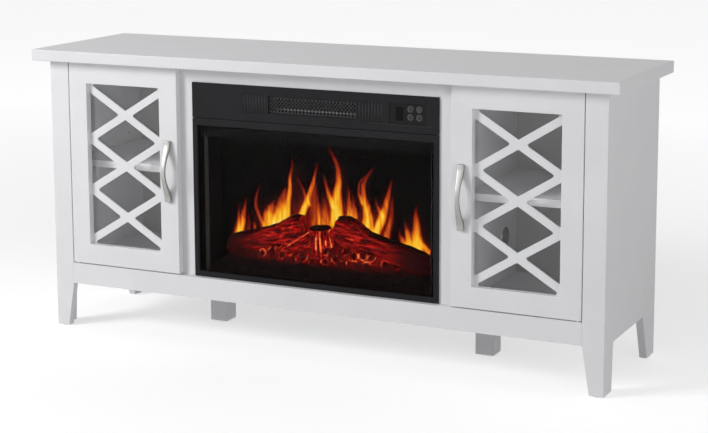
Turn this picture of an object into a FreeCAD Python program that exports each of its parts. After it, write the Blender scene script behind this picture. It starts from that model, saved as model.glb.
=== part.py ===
import FreeCAD, Part
import os
import re

import Sketcher

# A painted media cabinet with an electric fireplace insert, in millimetres. X runs along the
# cabinet to the right, Y from the front to the back, and Z up. The origin lies on the floor
# under the middle of the top board.

V = FreeCAD.Vector
doc = FreeCAD.newDocument("fireplace_tv_stand")

# Counts
LATTICE_ROWS = 3
PEG_ROWS = (-1, 0, 1)
SLOT_COUNT = 8
BLADE_COUNT = 16
FIN_COUNT = 8
LIGHT_COUNT = 9
ELEMENT_FINS = 22

# Driving dimensions
SIZES = {
    # Top and carcass boards
    "top_width": 1360,
    "top_depth": 376,
    "total_height": 635,
    "top_thick": 25,
    "top_round": 2,
    "side_overhang": 30,
    "front_overhang": 28.5,
    "board_thick": 16,
    "edge_round": 1.2,
    "back_thick": 4,
    # Legs, apron and feet
    "leg_face": 47,
    "leg_foot": 31,
    "leg_side": 57,
    "leg_side_foot": 50,
    "rear_leg_width": 86,
    "rear_leg_foot": 50,
    "apron_bottom": 101.5,
    "apron_height": 47.5,
    "centre_foot_width": 42,
    "centre_foot_depth": 46,
    "centre_foot_reach": 328,
    "centre_foot_setback": 198.5,
    "centre_foot_round": 3,
    "glide_dia": 14,
    "glide_thick": 2,
    "glide_inset": 16,
    "cap_dia": 6,
    "cap_thick": 0.6,
    "cap_inset": 3.5,
    "cap_rise": 53.5,
    # Surround, dividers, shelves
    "surround_half": 284,
    "strip_width": 52,
    "surround_rail_height": 38,
    "cable_hole_dia": 46,
    "cable_hole_inset": 71.5,
    "cable_hole_rise": 91.5,
    "rear_rail_height": 50,
    "shelf_rise": 216,
    "shelf_setback": 46.5,
    "shelf_clearance": 1,
    "peg_dia": 5,
    "peg_length": 16,
    "peg_sunk": 8,
    "peg_clearance": 0.1,
    "peg_front_setback": 80,
    "peg_rear_inset": 58.5,
    "peg_hole_pitch": 40,
    "peg_end_gap": 1,
    # Doors
    "door_gap": 2,
    "door_lap": 14,
    "door_thick": 16,
    "door_stop_gap": 0.5,
    "door_stile": 45.5,
    "door_rail": 47,
    "door_bottom_rail": 45,
    "door_round": 1.5,
    "pivot_inset": 9,
    "pivot_setback": 5.5,
    "pivot_dia": 5,
    "pivot_reach": 14,
    "pivot_stud": 10,
    "pivot_collar_dia": 9,
    "pivot_clearance": 0.08,
    "pivot_end_play": 0.3,
    "catch_width": 40,
    "catch_depth": 14,
    "catch_height": 12,
    "catch_side_gap": 14,
    "catch_gap": 0.3,
    "strike_width": 30,
    "strike_height": 10,
    "strike_thick": 1.2,
    # Fretwork, glass and clips
    "lattice_thick": 5,
    "lattice_lip": 9,
    "lattice_clearance": 0.5,
    "lattice_rise": 9.9,
    "lattice_corner": 3.8,
    "glass_thick": 3,
    "glass_lap": 14,
    "clip_length": 22,
    "clip_foot": 9,
    "clip_lap": 5,
    "clip_thick": 2,
    # Bow handles
    "handle_length": 136,
    "handle_projection": 26,
    "handle_foot_width": 15,
    "handle_foot_length": 18,
    "handle_waist": 9,
    "handle_thick": 6.4,
    "handle_end_round": 2.5,
    "handle_shoulder_bend": 30,
    "handle_crest_bend": 60,
    # Insert front
    "insert_overlap": 6,
    "insert_thick": 4,
    "heater_front_height": 77,
    "window_side_bar": 11.5,
    "window_bottom_bar": 12,
    "window_top_bar": 15.5,
    "band_seam": 1,
    "vent_rise": 38,
    "slot_height": 42,
    "slot_width": 3.4,
    "slot_pitch": 7.2,
    "slot_margin": 6.5,
    "outlet_height": 37,
    "mesh_lap": 3,
    "mesh_thick": 1.2,
    "mesh_hole": 6,
    "mesh_pitch": 8.2,
    # Controls
    "control_width": 82,
    "control_height": 42,
    "control_gap": 16.7,
    "control_margin": 28.5,
    "control_lap": 4,
    "control_thick": 2.5,
    "control_recess": 1,
    "control_clearance": 0.3,
    "display_width": 16,
    "display_height": 28,
    "display_thick": 1,
    "display_shift": 18.5,
    "button_dia": 11,
    "button_clearance": 0.4,
    "button_proud": 1.6,
    "button_edge": 0.6,
    "button_travel": 1.2,
    "button_flange": 1.5,
    "button_flange_thick": 1,
    "button_stem_dia": 4,
    "button_stem_length": 2.5,
    "button_spread": 19.8,
    "button_drop": 17,
    "button_shift": 16.2,
    "button_offset": 2.5,
    "switch_gap": 0.3,
    "switch_height": 2,
    "switch_width": 6,
    "circuit_thick": 1.6,
    "standoff_dia": 5,
    "standoff_inset": 3,
    # Housings behind the front
    "housing_clearance": 2,
    "sheet_thick": 1.2,
    "firebox_drop": 10,
    "fire_glass_thick": 4,
    "fire_glass_lap": 2.5,
    "fire_glass_gap": 1,
    "inlet_dia": 18,
    "inlet_tip_dia": 12,
    "inlet_bore_dia": 7,
    "inlet_length": 12,
    "inlet_reach": 200,
    "inlet_rise": 30,
    # Logs, embers and flame screen
    "bed_half": 268,
    "bed_front_gap": 6,
    "bed_depth": 88,
    "bed_lip": 16,
    "bed_height": 46,
    "bed_rear_gap": 1,
    "log_radius": 37,
    "log_rear_gap": 4,
    "log_near_end": 36,
    "log_far_end": 245,
    "log_near_rise": 110,
    "log_far_rise": 60,
    "stub_radius": 25,
    "stub_setback": 4,
    "stub_offset": 8,
    "stub_front_rise": 78,
    "stub_rear_rise": 92,
    "screen_thick": 2,
    "screen_clearance": 0.5,
    # Flame light, flicker spindle and its motor
    "light_half": 200,
    "light_depth": 30,
    "light_thick": 1.6,
    "light_chip": 5,
    "light_chip_height": 1.6,
    "spindle_setback": 45,
    "spindle_rear": 42,
    "spindle_rise": 60,
    "spindle_dia": 4,
    "spindle_clearance": 0.08,
    "spindle_end_gap": 0.5,
    "fin_length": 36,
    "fin_span": 22,
    "fin_thick": 0.6,
    "flicker_motor_dia": 48,
    "flicker_motor_thick": 20,
    "flicker_hub_dia": 16,
    "flicker_hub_length": 4,
    # Blower and heating element
    "wheel_margin": 8.5,
    "wheel_dia": 44,
    "wheel_gap": 10,
    "heater_rear": 59,
    "wheel_rise": 41,
    "wheel_disc_thick": 2,
    "blade_depth": 7,
    "blade_thick": 0.8,
    "shaft_dia": 5,
    "shaft_gap": 6,
    "bearing_thick": 4,
    "bearing_width": 24,
    "motor_width": 40,
    "motor_length": 34,
    "motor_bore_depth": 12,
    "element_margin": 4.5,
    "element_depth": 10,
    "element_height": 30,
    "element_bar": 4,
    "element_fin_thick": 0.8,
    "element_setback": 22,
    # Overrun of every cut past its face
    "overrun": 1,
}

# Places and sizes worked out from the driving dimensions
DERIVED = {
    "body_half": "top_width / 2 - side_overhang",
    "side_inner": "body_half - board_thick",
    "opening_half": "body_half - leg_face",
    "y_back": "top_depth / 2",
    "y_front": "front_overhang - top_depth / 2",
    "y_carcass": "y_front + board_thick",
    "y_back_panel": "y_back - back_thick",
    "y_rear_leg": "y_back - rear_leg_width",
    "z_under_top": "total_height - top_thick",
    "z_floor": "apron_bottom + apron_height",
    "z_bottom": "z_floor - board_thick",
    "y_foot": "y_front + centre_foot_setback",
    # Surround, dividers and shelves
    "y_door_back": "y_front + door_thick",
    "y_recess": "y_door_back + door_stop_gap",
    "y_strip_back": "y_recess + board_thick",
    "surround_outer": "surround_half + strip_width",
    "divider_inner": "surround_outer - board_thick",
    "z_surround_top": "z_under_top - surround_rail_height",
    "y_cable_hole": "y_back - cable_hole_inset",
    "z_cable_hole": "z_floor + cable_hole_rise",
    "z_shelf": "z_floor + shelf_rise",
    "z_peg": "z_shelf - peg_dia / 2",
    "peg_hole_depth": "peg_sunk + peg_end_gap",
    "y_peg_front": "y_front + peg_front_setback",
    "y_peg_rear": "y_back - peg_rear_inset",
    # Doors, given on the right and mirrored on the left
    "door_outer": "opening_half - door_gap",
    "door_inner": "surround_outer - door_lap",
    "door_width": "door_outer - door_inner",
    "door_middle": "door_outer - door_width / 2",
    "z_door": "z_floor + door_gap",
    "z_door_top": "z_under_top - door_gap",
    "z_door_middle": "(z_door + z_door_top) / 2",
    "pivot_x": "door_outer - pivot_inset",
    "y_pivot": "y_front + pivot_setback",
    "window_half": "door_width / 2 - door_stile",
    "z_window": "z_door + door_bottom_rail",
    "z_window_top": "z_door_top - door_rail",
    "window_height": "z_window_top - z_window",
    "y_lattice": "y_door_back - lattice_thick",
    "z_lattice": "z_window + lattice_rise",
    "lattice_cell": f"(window_height - 2 * lattice_rise) / {LATTICE_ROWS}",
    "lattice_run": "2 * lattice_rise * window_half / lattice_cell",
    "panel_lip": "lattice_lip - lattice_clearance",
    "y_glass_back": "y_door_back + glass_thick",
    "handle_x": "door_inner + door_stile / 2",
    "handle_rise": "handle_length / 2",
    "handle_reach": "handle_projection - handle_thick",
    "handle_flare": "(handle_foot_width - handle_waist) / 2",
    "cheek_radius": "(handle_rise * handle_rise / handle_flare + handle_flare) / 2",
    "catch_reach": "surround_outer + catch_side_gap + catch_width / 2",
    "y_catch": "y_door_back + strike_thick + catch_gap",
    # Insert
    "insert_half": "surround_half + insert_overlap",
    "z_insert_top": "z_surround_top + insert_overlap",
    "y_insert": "y_recess - insert_thick",
    "z_band": "z_insert_top - heater_front_height",
    "z_frame_top": "z_band - band_seam",
    "insert_window_half": "insert_half - window_side_bar",
    "z_insert_window": "z_floor + window_bottom_bar",
    "z_vent": "z_band + vent_rise",
    "housing_half": "surround_half - housing_clearance",
    "housing_inner": "housing_half - sheet_thick",
    "z_firebox_top": "z_frame_top - firebox_drop",
    "z_firebox_roof": "z_firebox_top - sheet_thick",
    "z_housing_top": "z_surround_top - housing_clearance",
    "y_fire_glass_back": "y_recess + fire_glass_thick",
    "z_fire_floor": "z_floor + sheet_thick",
    "z_heater_floor": "z_firebox_top + sheet_thick",
    "y_control": "y_insert + control_recess",
    "y_control_back": "y_recess + control_thick",
    "control_half": "control_width / 2",
    "control_reach": "insert_half - control_margin - control_half",
    "display_reach": "control_reach - display_shift",
    "button_reach": "control_reach + button_shift",
    "slots_width": f"{SLOT_COUNT - 1} * slot_pitch + slot_width",
    "slot_start": "control_reach - control_half - control_gap - slots_width",
    "outlet_half": "slot_start - slot_margin",
    "control_rise": "control_height / 2",
    "button_flange_dia": "button_dia + 2 * button_flange",
    "y_button_back": "y_control_back + button_flange_thick",
    "y_stem_back": "y_button_back + button_stem_length",
    "y_circuit": "y_stem_back + button_travel + switch_gap + switch_height",
    "button_barrel": "y_control_back - y_control + button_proud",
    "button_length": "button_barrel + button_flange_thick + button_stem_length",
    "z_buttons": "z_vent + button_offset",
    "y_bed": "y_fire_glass_back + bed_front_gap",
    "y_screen": "y_bed + bed_depth + bed_rear_gap",
    "y_log": "y_screen - log_rear_gap - log_radius",
    "z_log_near": "z_floor + log_near_rise",
    "z_log_far": "z_floor + log_far_rise",
    "y_stub": "y_bed + stub_setback",
    "z_stub_front": "z_floor + stub_front_rise",
    "z_stub_rear": "z_floor + stub_rear_rise",
    "y_spindle": "y_screen + spindle_setback",
    "y_firebox_back": "y_spindle + spindle_rear",
    "z_spindle": "z_floor + spindle_rise",
    "flicker_motor_face": "housing_inner - flicker_motor_thick - flicker_hub_length",
    "flicker_bore_depth": "flicker_hub_length + flicker_motor_thick / 2",
    "y_element": "y_recess + element_setback",
    "element_half": "outlet_half - element_margin",
    "wheel_half": "outlet_half - wheel_margin",
    "y_wheel": "y_element + element_depth + wheel_gap + wheel_dia / 2",
    "y_heater_back": "y_wheel + heater_rear",
    "z_wheel": "z_firebox_top + wheel_rise",
    "motor_face": "wheel_half + shaft_gap",
    "shaft_end": "motor_face + motor_bore_depth - spindle_end_gap",
    "shaft_start": "wheel_half + shaft_gap + bearing_thick",
}

# Handle outline from a foot to the crest: shares of the projection and of half the length
HANDLE_OUTER_SHARES = ((0, 1), (0.34, 1), (0.37, 0.8), (1, 0.295))
HANDLE_INNER_SHARES = ((0.2, 0.676), (1, 0.265))

# Bends of the handle, and the shares of half its length between which the edges of each one lie
HANDLE_BENDS = (("handle_crest_bend", 0, 0.5), ("handle_shoulder_bend", 0.5, 0.95), ("handle_end_round", 0.95, 1.05))

# Logs: shares of the length and of the radius, from the raised end to the low one
LOG_SECTION_SHARES = ((0, 0.9), (0.2, 1), (0.45, 0.94), (0.75, 1.03), (1, 0.88))
STUB_SECTION_SHARES = ((0, 0.92), (0.5, 1.03), (1, 0.96))
BED_CREST_SHARE = 0.5

SIDES = (("left", -1), ("right", 1))
X_AXIS = V(1, 0, 0)
Y_AXIS = V(0, 1, 0)
Z_AXIS = V(0, 0, 1)
TURNS = {
    "x": FreeCAD.Rotation(Z_AXIS, X_AXIS),
    "y": FreeCAD.Rotation(Z_AXIS, Y_AXIS),
    "z": FreeCAD.Rotation(),
    "down": FreeCAD.Rotation(X_AXIS, 180),
}

sheet = doc.addObject("Spreadsheet::Sheet", "sizes")
for row, (alias, content) in enumerate({**SIZES, **DERIVED}.items(), start=1):
    sheet.set(f"A{row}", alias)
    sheet.set(f"B{row}", f"={content}" if alias in DERIVED else str(content))
    sheet.setAlias(f"B{row}", alias)
doc.recompute()

nodes = []


def size(alias):
    return float(sheet.get(alias))


def cell(word):
    """A size name pointed at its cell, or any other word as it is."""
    known = word[0] in SIZES or word[0] in DERIVED
    return f"sizes.{word[0]}" if known else word[0]


def bind(thing, prop, text):
    thing.setExpression(prop, re.sub("[a-z_]+", cell, text))


def keep(piece):
    """Marks a finished piece as a node of the part."""
    nodes.append(piece)
    return piece


def span(side, low, high):
    """An X range given on the right, or its mirror image on the left."""
    return (low, high) if side > 0 else (f"-({high})", f"-({low})")


def about(middle, half):
    return (f"{middle} - ({half})", f"{middle} + ({half})")


def board(name, x, y, z):
    """A square-edged block between two expressions along each axis."""
    piece = doc.addObject("Part::Box", name)
    for prop, axis, (low, high) in zip(("Length", "Width", "Height"), "xyz", (x, y, z)):
        bind(piece, prop, f"({high}) - ({low})")
        bind(piece, f"Placement.Base.{axis}", low)
    return piece


def put(piece, turn, place):
    piece.Placement = FreeCAD.Placement(V(), TURNS[turn])
    for axis, text in zip("xyz", place):
        bind(piece, f"Placement.Base.{axis}", text)


def rod(name, axis, start, length, diameter):
    """A round bar that runs from a start point along one axis."""
    piece = doc.addObject("Part::Cylinder", name)
    put(piece, axis, start)
    bind(piece, "Height", length)
    bind(piece, "Radius", f"({diameter}) / 2")
    return piece


def draw(body, plane, offset, outlines):
    """A sketch of closed outlines whose corners are expressions, on a moved origin plane."""
    sketch = body.newObject("Sketcher::SketchObject", f"{body.Name}_sketch")
    support = next(item for item in body.Origin.OriginFeatures if item.Role == plane)
    sketch.AttachmentSupport = [(support, "")]
    sketch.MapMode = "FlatFace"
    bind(sketch, "AttachmentOffset.Base.z", offset)
    for outline in outlines:
        first = sketch.GeometryCount
        count = len(outline)
        for k in range(count):
            sketch.addGeometry(Part.LineSegment(V(k, k * k), V(k + 1, (k + 1) * (k + 1))))
        for k in range(count):
            following = first + (k + 1) % count
            sketch.addConstraint(Sketcher.Constraint("Coincident", first + k, 2, following, 1))
        for k, corner in enumerate(outline):
            for kind, place in zip(("DistanceX", "DistanceY"), corner):
                number = sketch.addConstraint(Sketcher.Constraint(kind, -1, 1, first + k, 1, 1))
                bind(sketch, f"Constraints[{number}]", place)
    return sketch


def plate(name, plane, offset, thick, outlines):
    """A body padded from a sketch along the plane's normal."""
    body = doc.addObject("PartDesign::Body", name)
    sketch = draw(body, plane, offset, outlines)
    pad = body.newObject("PartDesign::Pad", f"{name}_pad")
    pad.Profile = sketch
    bind(pad, "Length", thick)
    doc.recompute()
    return body


def carve(body, plane, offset, depth, outlines):
    """A pocket that runs back along the plane's normal and must take material away."""
    before = body.Shape.Volume
    sketch = draw(body, plane, offset, outlines)
    pocket = body.newObject("PartDesign::Pocket", f"{body.Name}_pocket")
    pocket.Profile = sketch
    bind(pocket, "Length", depth)
    doc.recompute()
    if body.Shape.Volume >= before:
        raise RuntimeError(f"a pocket of {body.Name} cuts nothing")


def soften(body, radius, picks):
    """Rounds the edges of a body that the test picks."""
    base = body.Tip
    names = [f"Edge{k}" for k, edge in enumerate(base.Shape.Edges, start=1) if picks(edge)]
    fillet = body.newObject("PartDesign::Fillet", f"{body.Name}_round")
    fillet.Base = (base, names)
    bind(fillet, "Radius", radius)
    doc.recompute()


def turned(name, turn, place, outline):
    """A body revolved about its own upright axis from (radius, height) corners, then placed."""
    body = doc.addObject("PartDesign::Body", name)
    sketch = draw(body, "XZ_Plane", "0", [outline])
    revolution = body.newObject("PartDesign::Revolution", f"{name}_turn")
    revolution.Profile = sketch
    revolution.ReferenceAxis = (sketch, ["V_Axis"])
    put(body, turn, place)
    doc.recompute()
    return body


def rectangle(across, up):
    """The corners of a rectangle between two expressions each way."""
    return [(across[0], up[0]), (across[1], up[0]), (across[1], up[1]), (across[0], up[1])]


def group(name, pieces):
    """Separate solids that share one node."""
    together = doc.addObject("Part::Compound", name)
    together.Links = pieces
    return together


def join(name, pieces):
    whole = doc.addObject("Part::MultiFuse", name)
    whole.Shapes = pieces
    return whole


def cut(name, base, tools):
    """A piece with one or more tools taken away."""
    result = doc.addObject("Part::Cut", name)
    result.Base = base
    result.Tool = tools[0] if len(tools) == 1 else group(f"{name}_tools", tools)
    return result


def faces_front(edge):
    """True for an edge that lies in the plane of the doors and legs."""
    box = edge.BoundBox
    return max(abs(box.YMin - size("y_front")), abs(box.YMax - size("y_front"))) < size("overrun") / 10


def runs_along(edge, axis):
    run = edge.Vertexes[-1].Point - edge.Vertexes[0].Point
    return abs(run.normalize().dot(axis)) > 0.999


def handle_share(edge):
    """How far from a handle's middle an edge lies, as a share of half its length."""
    return abs(edge.CenterOfMass.z - size("z_door_middle")) / size("handle_rise")


def stud_holes(name, z):
    """Holes for the studs of the door pivots."""
    return [rod(f"{name}_{side_name}", "z", (f"{side} * pivot_x", "y_pivot", z),
                "pivot_stud + pivot_end_play + overrun", "pivot_dia + 2 * peg_clearance")
            for side_name, side in SIDES]


def peg_holes(name, face, way, y):
    """Shelf peg holes, one above another, sunk into an X face the given way."""
    start = f"{face} - overrun" if way > 0 else f"{face} - peg_hole_depth"
    return [rod(f"{name}_{row + 1}", "x", (start, y, f"z_peg + {row} * peg_hole_pitch"),
                "peg_hole_depth + overrun", "peg_dia + 2 * peg_clearance") for row in PEG_ROWS]


# Top board, lapping over the sides and the front, with softened edges all round
top = plate("top_stock", "XY_Plane", "z_under_top", "top_thick",
            [rectangle(about("0", "top_width / 2"), about("0", "top_depth / 2"))])
soften(top, "top_round", lambda edge: True)
keep(cut("top_board", top, stud_holes("top_stud_hole", "z_under_top - overrun")))

# Front legs, straight down to the apron's lower edge and tapered on the inner side below it
for name, side in SIDES:
    leg = plate(f"{name}_front_leg", "XZ_Plane", "-y_carcass", "board_thick", [[
        (f"{side} * body_half", "glide_thick"),
        (f"{side} * body_half", "z_under_top"),
        (f"{side} * opening_half", "z_under_top"),
        (f"{side} * opening_half", "apron_bottom"),
        (f"{side} * (body_half - leg_foot)", "glide_thick"),
    ]])
    soften(leg, "edge_round", lambda edge: faces_front(edge) and not runs_along(edge, X_AXIS))
    keep(leg)

# Side panels that run down behind the front legs, and rear legs that taper from the front
for name, side in SIDES:
    start = span(side, "side_inner", "body_half")[0]
    face = f"{side} * side_inner"
    panel = plate(f"{name}_side_stock", "YZ_Plane", start, "board_thick", [[
        ("y_carcass", "glide_thick"),
        ("y_front + leg_side_foot", "glide_thick"),
        ("y_front + leg_side", "apron_bottom"),
        ("y_rear_leg", "apron_bottom"),
        ("y_rear_leg", "z_under_top"),
        ("y_carcass", "z_under_top"),
    ]])
    keep(cut(f"{name}_side_panel", panel, peg_holes(f"{name}_side_hole", face, side, "y_peg_front")))
    leg = plate(f"{name}_rear_stock", "YZ_Plane", start, "board_thick", [[
        ("y_rear_leg", "apron_bottom"),
        ("y_back - rear_leg_foot", "glide_thick"),
        ("y_back", "glide_thick"),
        ("y_back", "z_under_top"),
        ("y_rear_leg", "z_under_top"),
    ]])
    keep(cut(f"{name}_rear_leg", leg, peg_holes(f"{name}_rear_hole", face, side, "y_peg_rear")))

# Screw caps on the sides, by the joint of panel and rear leg
keep(group("side_screw_caps", [
    rod(f"{name}_cap", "x", (span(side, "body_half", "body_half + cap_thick")[0],
                             "y_rear_leg + cap_inset", "apron_bottom + cap_rise"), "cap_thick", "cap_dia")
    for name, side in SIDES]))

# Apron, bottom panel and the two feet under the middle
apron = board("apron_stock", about("0", "opening_half"), ("y_front", "y_carcass"),
              ("apron_bottom", "z_floor"))
keep(cut("front_apron", apron, stud_holes("apron_stud_hole", "z_floor - pivot_stud - pivot_end_play")))
keep(board("bottom_panel", about("0", "side_inner"), ("y_carcass", "y_back_panel"),
           ("z_bottom", "z_floor")))
for name, side in SIDES:
    foot = plate(f"{name}_centre_foot", "XY_Plane", "glide_thick", "z_bottom - glide_thick",
                 [rectangle(about(f"{side} * centre_foot_reach", "centre_foot_width / 2"),
                            about("y_foot", "centre_foot_depth / 2"))])
    soften(foot, "centre_foot_round", lambda edge: runs_along(edge, Z_AXIS))
    keep(foot)

# Glides under the four corner legs and the two centre feet
glide_places = [(f"{side} * {reach}", y) for name, side in SIDES for reach, y in (
    ("(body_half - glide_inset)", "y_front + board_thick / 2"),
    ("(body_half - board_thick / 2)", "y_back - rear_leg_foot / 2"),
    ("centre_foot_reach", "y_foot"))]
keep(group("foot_glides", [rod(f"glide_{k}", "z", (x, y, "0"), "glide_thick", "glide_dia")
                           for k, (x, y) in enumerate(glide_places)]))

# Surround of the insert, set back behind the doors, with the dividers behind its strips
for name, side in SIDES:
    keep(board(f"{name}_surround_strip", span(side, "surround_half", "surround_outer"),
               ("y_recess", "y_strip_back"), ("z_floor", "z_under_top")))
    divider = board(f"{name}_divider_stock", span(side, "divider_inner", "surround_outer"),
                    ("y_strip_back", "y_back_panel"), ("z_floor", "z_under_top"))
    start, end = span(side, "divider_inner - overrun", "surround_outer + overrun")
    cable_hole = rod(f"{name}_cable_hole", "x", (start, "y_cable_hole", "z_cable_hole"),
                     f"({end}) - ({start})", "cable_hole_dia")
    face = f"{side} * surround_outer"
    holes = (peg_holes(f"{name}_divider_front_hole", face, -side, "y_peg_front")
             + peg_holes(f"{name}_divider_rear_hole", face, -side, "y_peg_rear"))
    keep(cut(f"{name}_divider", divider, [cable_hole] + holes))
keep(board("surround_top_rail", about("0", "surround_half"), ("y_recess", "y_strip_back"),
           ("z_surround_top", "z_under_top")))
keep(board("rear_top_rail", about("0", "divider_inner"), ("y_back_panel - board_thick", "y_back_panel"),
           ("z_under_top - rear_rail_height", "z_under_top")))

# Back panels and shelves of the side cupboards
for name, side in SIDES:
    keep(board(f"{name}_back_panel", span(side, "divider_inner", "side_inner"),
               ("y_back_panel", "y_back"), ("z_bottom", "z_under_top")))
    keep(board(f"{name}_shelf",
               span(side, "surround_outer + shelf_clearance", "side_inner - shelf_clearance"),
               ("y_front + shelf_setback", "y_back_panel - shelf_clearance"),
               ("z_shelf", "z_shelf + board_thick")))

# Shelf pegs, half sunk in the dividers and the sides
pegs = []
for name, side in SIDES:
    for low, high in (("side_inner + peg_sunk - peg_length", "side_inner + peg_sunk"),
                      ("surround_outer - peg_sunk", "surround_outer - peg_sunk + peg_length")):
        for y in ("y_peg_front", "y_peg_rear"):
            pegs.append(rod(f"peg_{len(pegs)}", "x", (span(side, low, high)[0], y, "z_peg"),
                            "peg_length", "peg_dia"))
keep(group("shelf_pegs", pegs))

# Door pivots: a stud in the apron or the top board, a collar in the gap, a pin in the door
pivots = []
for name, side in SIDES:
    for turn, z, collar in (("z", "z_floor - pivot_stud", "door_gap"),
                            ("down", "z_under_top + pivot_stud", "door_gap - pivot_end_play")):
        pivots.append(turned(f"{name}_pivot_{turn}", turn, (f"{side} * pivot_x", "y_pivot", z), [
            ("0", "0"),
            ("pivot_dia / 2", "0"),
            ("pivot_dia / 2", "pivot_stud"),
            ("pivot_collar_dia / 2", "pivot_stud"),
            ("pivot_collar_dia / 2", f"pivot_stud + {collar}"),
            ("pivot_dia / 2", f"pivot_stud + {collar}"),
            ("pivot_dia / 2", "pivot_stud + door_gap + pivot_reach"),
            ("0", "pivot_stud + door_gap + pivot_reach"),
        ]))
keep(group("door_pivots", pivots))

# Magnetic catches under the top board
keep(group("magnetic_catches", [
    board(f"{name}_catch", span(side, *about("catch_reach", "catch_width / 2")),
          ("y_catch", "y_catch + catch_depth"), ("z_under_top - catch_height", "z_under_top"))
    for name, side in SIDES]))


def fretwork(middle):
    """The gaps between two zigzags of bars, which cross once in each cell and end in the window's corners."""
    gaps = []
    for row in range(LATTICE_ROWS):
        low = f"z_lattice + {row} * lattice_cell"
        for way in (-1, 1):
            gaps.append([
                (f"{middle} + {way} * window_half", f"{low} + lattice_rise"),
                (f"{middle} + {way} * window_half", f"{low} + lattice_cell - lattice_rise"),
                (f"{middle} + {way} * lattice_run", f"{low} + lattice_cell / 2"),
            ])
    for row in range(1, LATTICE_ROWS):
        level = f"z_lattice + {row} * lattice_cell"
        left, right = [(f"{middle} + {way} * (window_half - lattice_run)", level) for way in (-1, 1)]
        gaps.append([left, (middle, f"{level} - lattice_cell / 2 + lattice_rise"),
                     right, (middle, f"{level} + lattice_cell / 2 - lattice_rise")])
    for edge, tip in (("z_window", "z_window + lattice_cell / 2"),
                      ("z_window_top", "z_window_top - lattice_cell / 2")):
        gaps.append([(f"{middle} - window_half", edge), (f"{middle} + window_half", edge), (middle, tip)])
    return gaps


def glass_clip(name, axis, way, edge, middle):
    """A clip at an edge of the glass: a foot on the door beside it and a tongue over the glass."""
    reach = {"foot": (edge, f"{edge} + {way} * clip_foot"),
             "tongue": (f"{edge} - {way} * clip_lap", f"{edge} + {way} * clip_foot")}
    depth = {"foot": ("y_door_back", "y_glass_back"),
             "tongue": ("y_glass_back", "y_glass_back + clip_thick")}
    length = about(middle, "clip_length / 2")
    blocks = []
    for kind in ("foot", "tongue"):
        low_high = reach[kind] if way > 0 else reach[kind][::-1]
        x, z = (low_high, length) if axis == "x" else (length, low_high)
        blocks.append(board(f"{name}_{kind}", x, depth[kind], z))
    return join(name, blocks)


# Doors: a routed frame with a rebate for the fretwork panel, glass on the back held by clips
for name, side in SIDES:
    middle = f"{side} * door_middle"
    window = rectangle(about(middle, "window_half"), ("z_window", "z_window_top"))
    frame = plate(f"{name}_door_stock", "XZ_Plane", "-y_door_back", "door_thick", [
        rectangle(span(side, "door_inner", "door_outer"), ("z_door", "z_door_top")), window])
    carve(frame, "XZ_Plane", "-y_lattice", "lattice_thick + overrun",
          [rectangle(about(middle, "window_half + lattice_lip"),
                     ("z_window - lattice_lip", "z_window_top + lattice_lip"))])
    soften(frame, "door_round", faces_front)
    bores = [rod(f"{name}_door_bore_{end}", "z", (f"{side} * pivot_x", "y_pivot", z),
                 "pivot_reach + pivot_end_play + overrun", "pivot_dia + 2 * pivot_clearance")
             for end, z in (("low", "z_door - overrun"),
                            ("high", "z_door_top - pivot_reach - pivot_end_play"))]
    keep(cut(f"{name}_door_frame", frame, bores))

    panel = plate(f"{name}_lattice", "XZ_Plane", "-y_door_back", "lattice_thick", [
        rectangle(about(middle, "window_half + panel_lip"),
                  ("z_window - panel_lip", "z_window_top + panel_lip"))] + fretwork(middle))
    reach = size("window_half") + size("lattice_lip") / 4
    soften(panel, "lattice_corner", lambda edge: runs_along(edge, Y_AXIS)
           and abs(edge.BoundBox.Center.x - side * size("door_middle")) < reach)
    keep(panel)

    glass_half = "window_half + glass_lap"
    keep(board(f"{name}_door_glass", about(middle, glass_half), ("y_door_back", "y_glass_back"),
               ("z_window - glass_lap", "z_window_top + glass_lap")))
    clips = [glass_clip(f"{name}_clip_{edge_name}_{row}", "x", way, f"{middle} + {way} * ({glass_half})",
                        f"z_lattice + {row} * lattice_cell")
             for edge_name, way in SIDES for row in (1, LATTICE_ROWS - 1)]
    clips.append(glass_clip(f"{name}_clip_low", "z", -1, "z_window - glass_lap", middle))
    clips.append(glass_clip(f"{name}_clip_high", "z", 1, "z_window_top + glass_lap", middle))
    keep(group(f"{name}_glass_clips", clips))

    keep(board(f"{name}_strike_plate", span(side, *about("catch_reach", "strike_width / 2")),
               ("y_door_back", "y_door_back + strike_thick"), ("z_door_top - strike_height", "z_door_top")))

# Bow handles: a bar bent to its side outline, with hollow cheeks that leave a waist between the feet
for name, side in SIDES:
    middle = f"{side} * handle_x"
    outer = [(f"{depth} * handle_projection", f"{rise} * handle_rise") for depth, rise in HANDLE_OUTER_SHARES]
    inner = [("0", "handle_rise - handle_foot_length")]
    inner += [(f"{depth} * handle_reach", f"{rise} * handle_rise") for depth, rise in HANDLE_INNER_SHARES]
    bow = ((1, outer), (-1, outer[::-1]), (-1, inner), (1, inner[::-1]))
    bar = plate(f"{name}_handle_bar", "YZ_Plane", f"{middle} - handle_foot_width / 2", "handle_foot_width", [
        [(f"y_front - {depth}", f"z_door_middle + {way} * ({rise})")
         for way, half in bow for depth, rise in half]])
    for bend, nearest, farthest in HANDLE_BENDS:
        soften(bar, bend, lambda edge: runs_along(edge, X_AXIS) and not faces_front(edge)
               and nearest < handle_share(edge) < farthest)
    cheeks = [rod(f"{name}_{cheek}_cheek", "y",
                  (f"{middle} + {way} * (handle_waist / 2 + cheek_radius)",
                   "y_front - handle_projection - overrun", "z_door_middle"),
                  "handle_projection + 2 * overrun", "2 * cheek_radius") for cheek, way in SIDES]
    keep(cut(f"{name}_handle", bar, cheeks))

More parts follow.
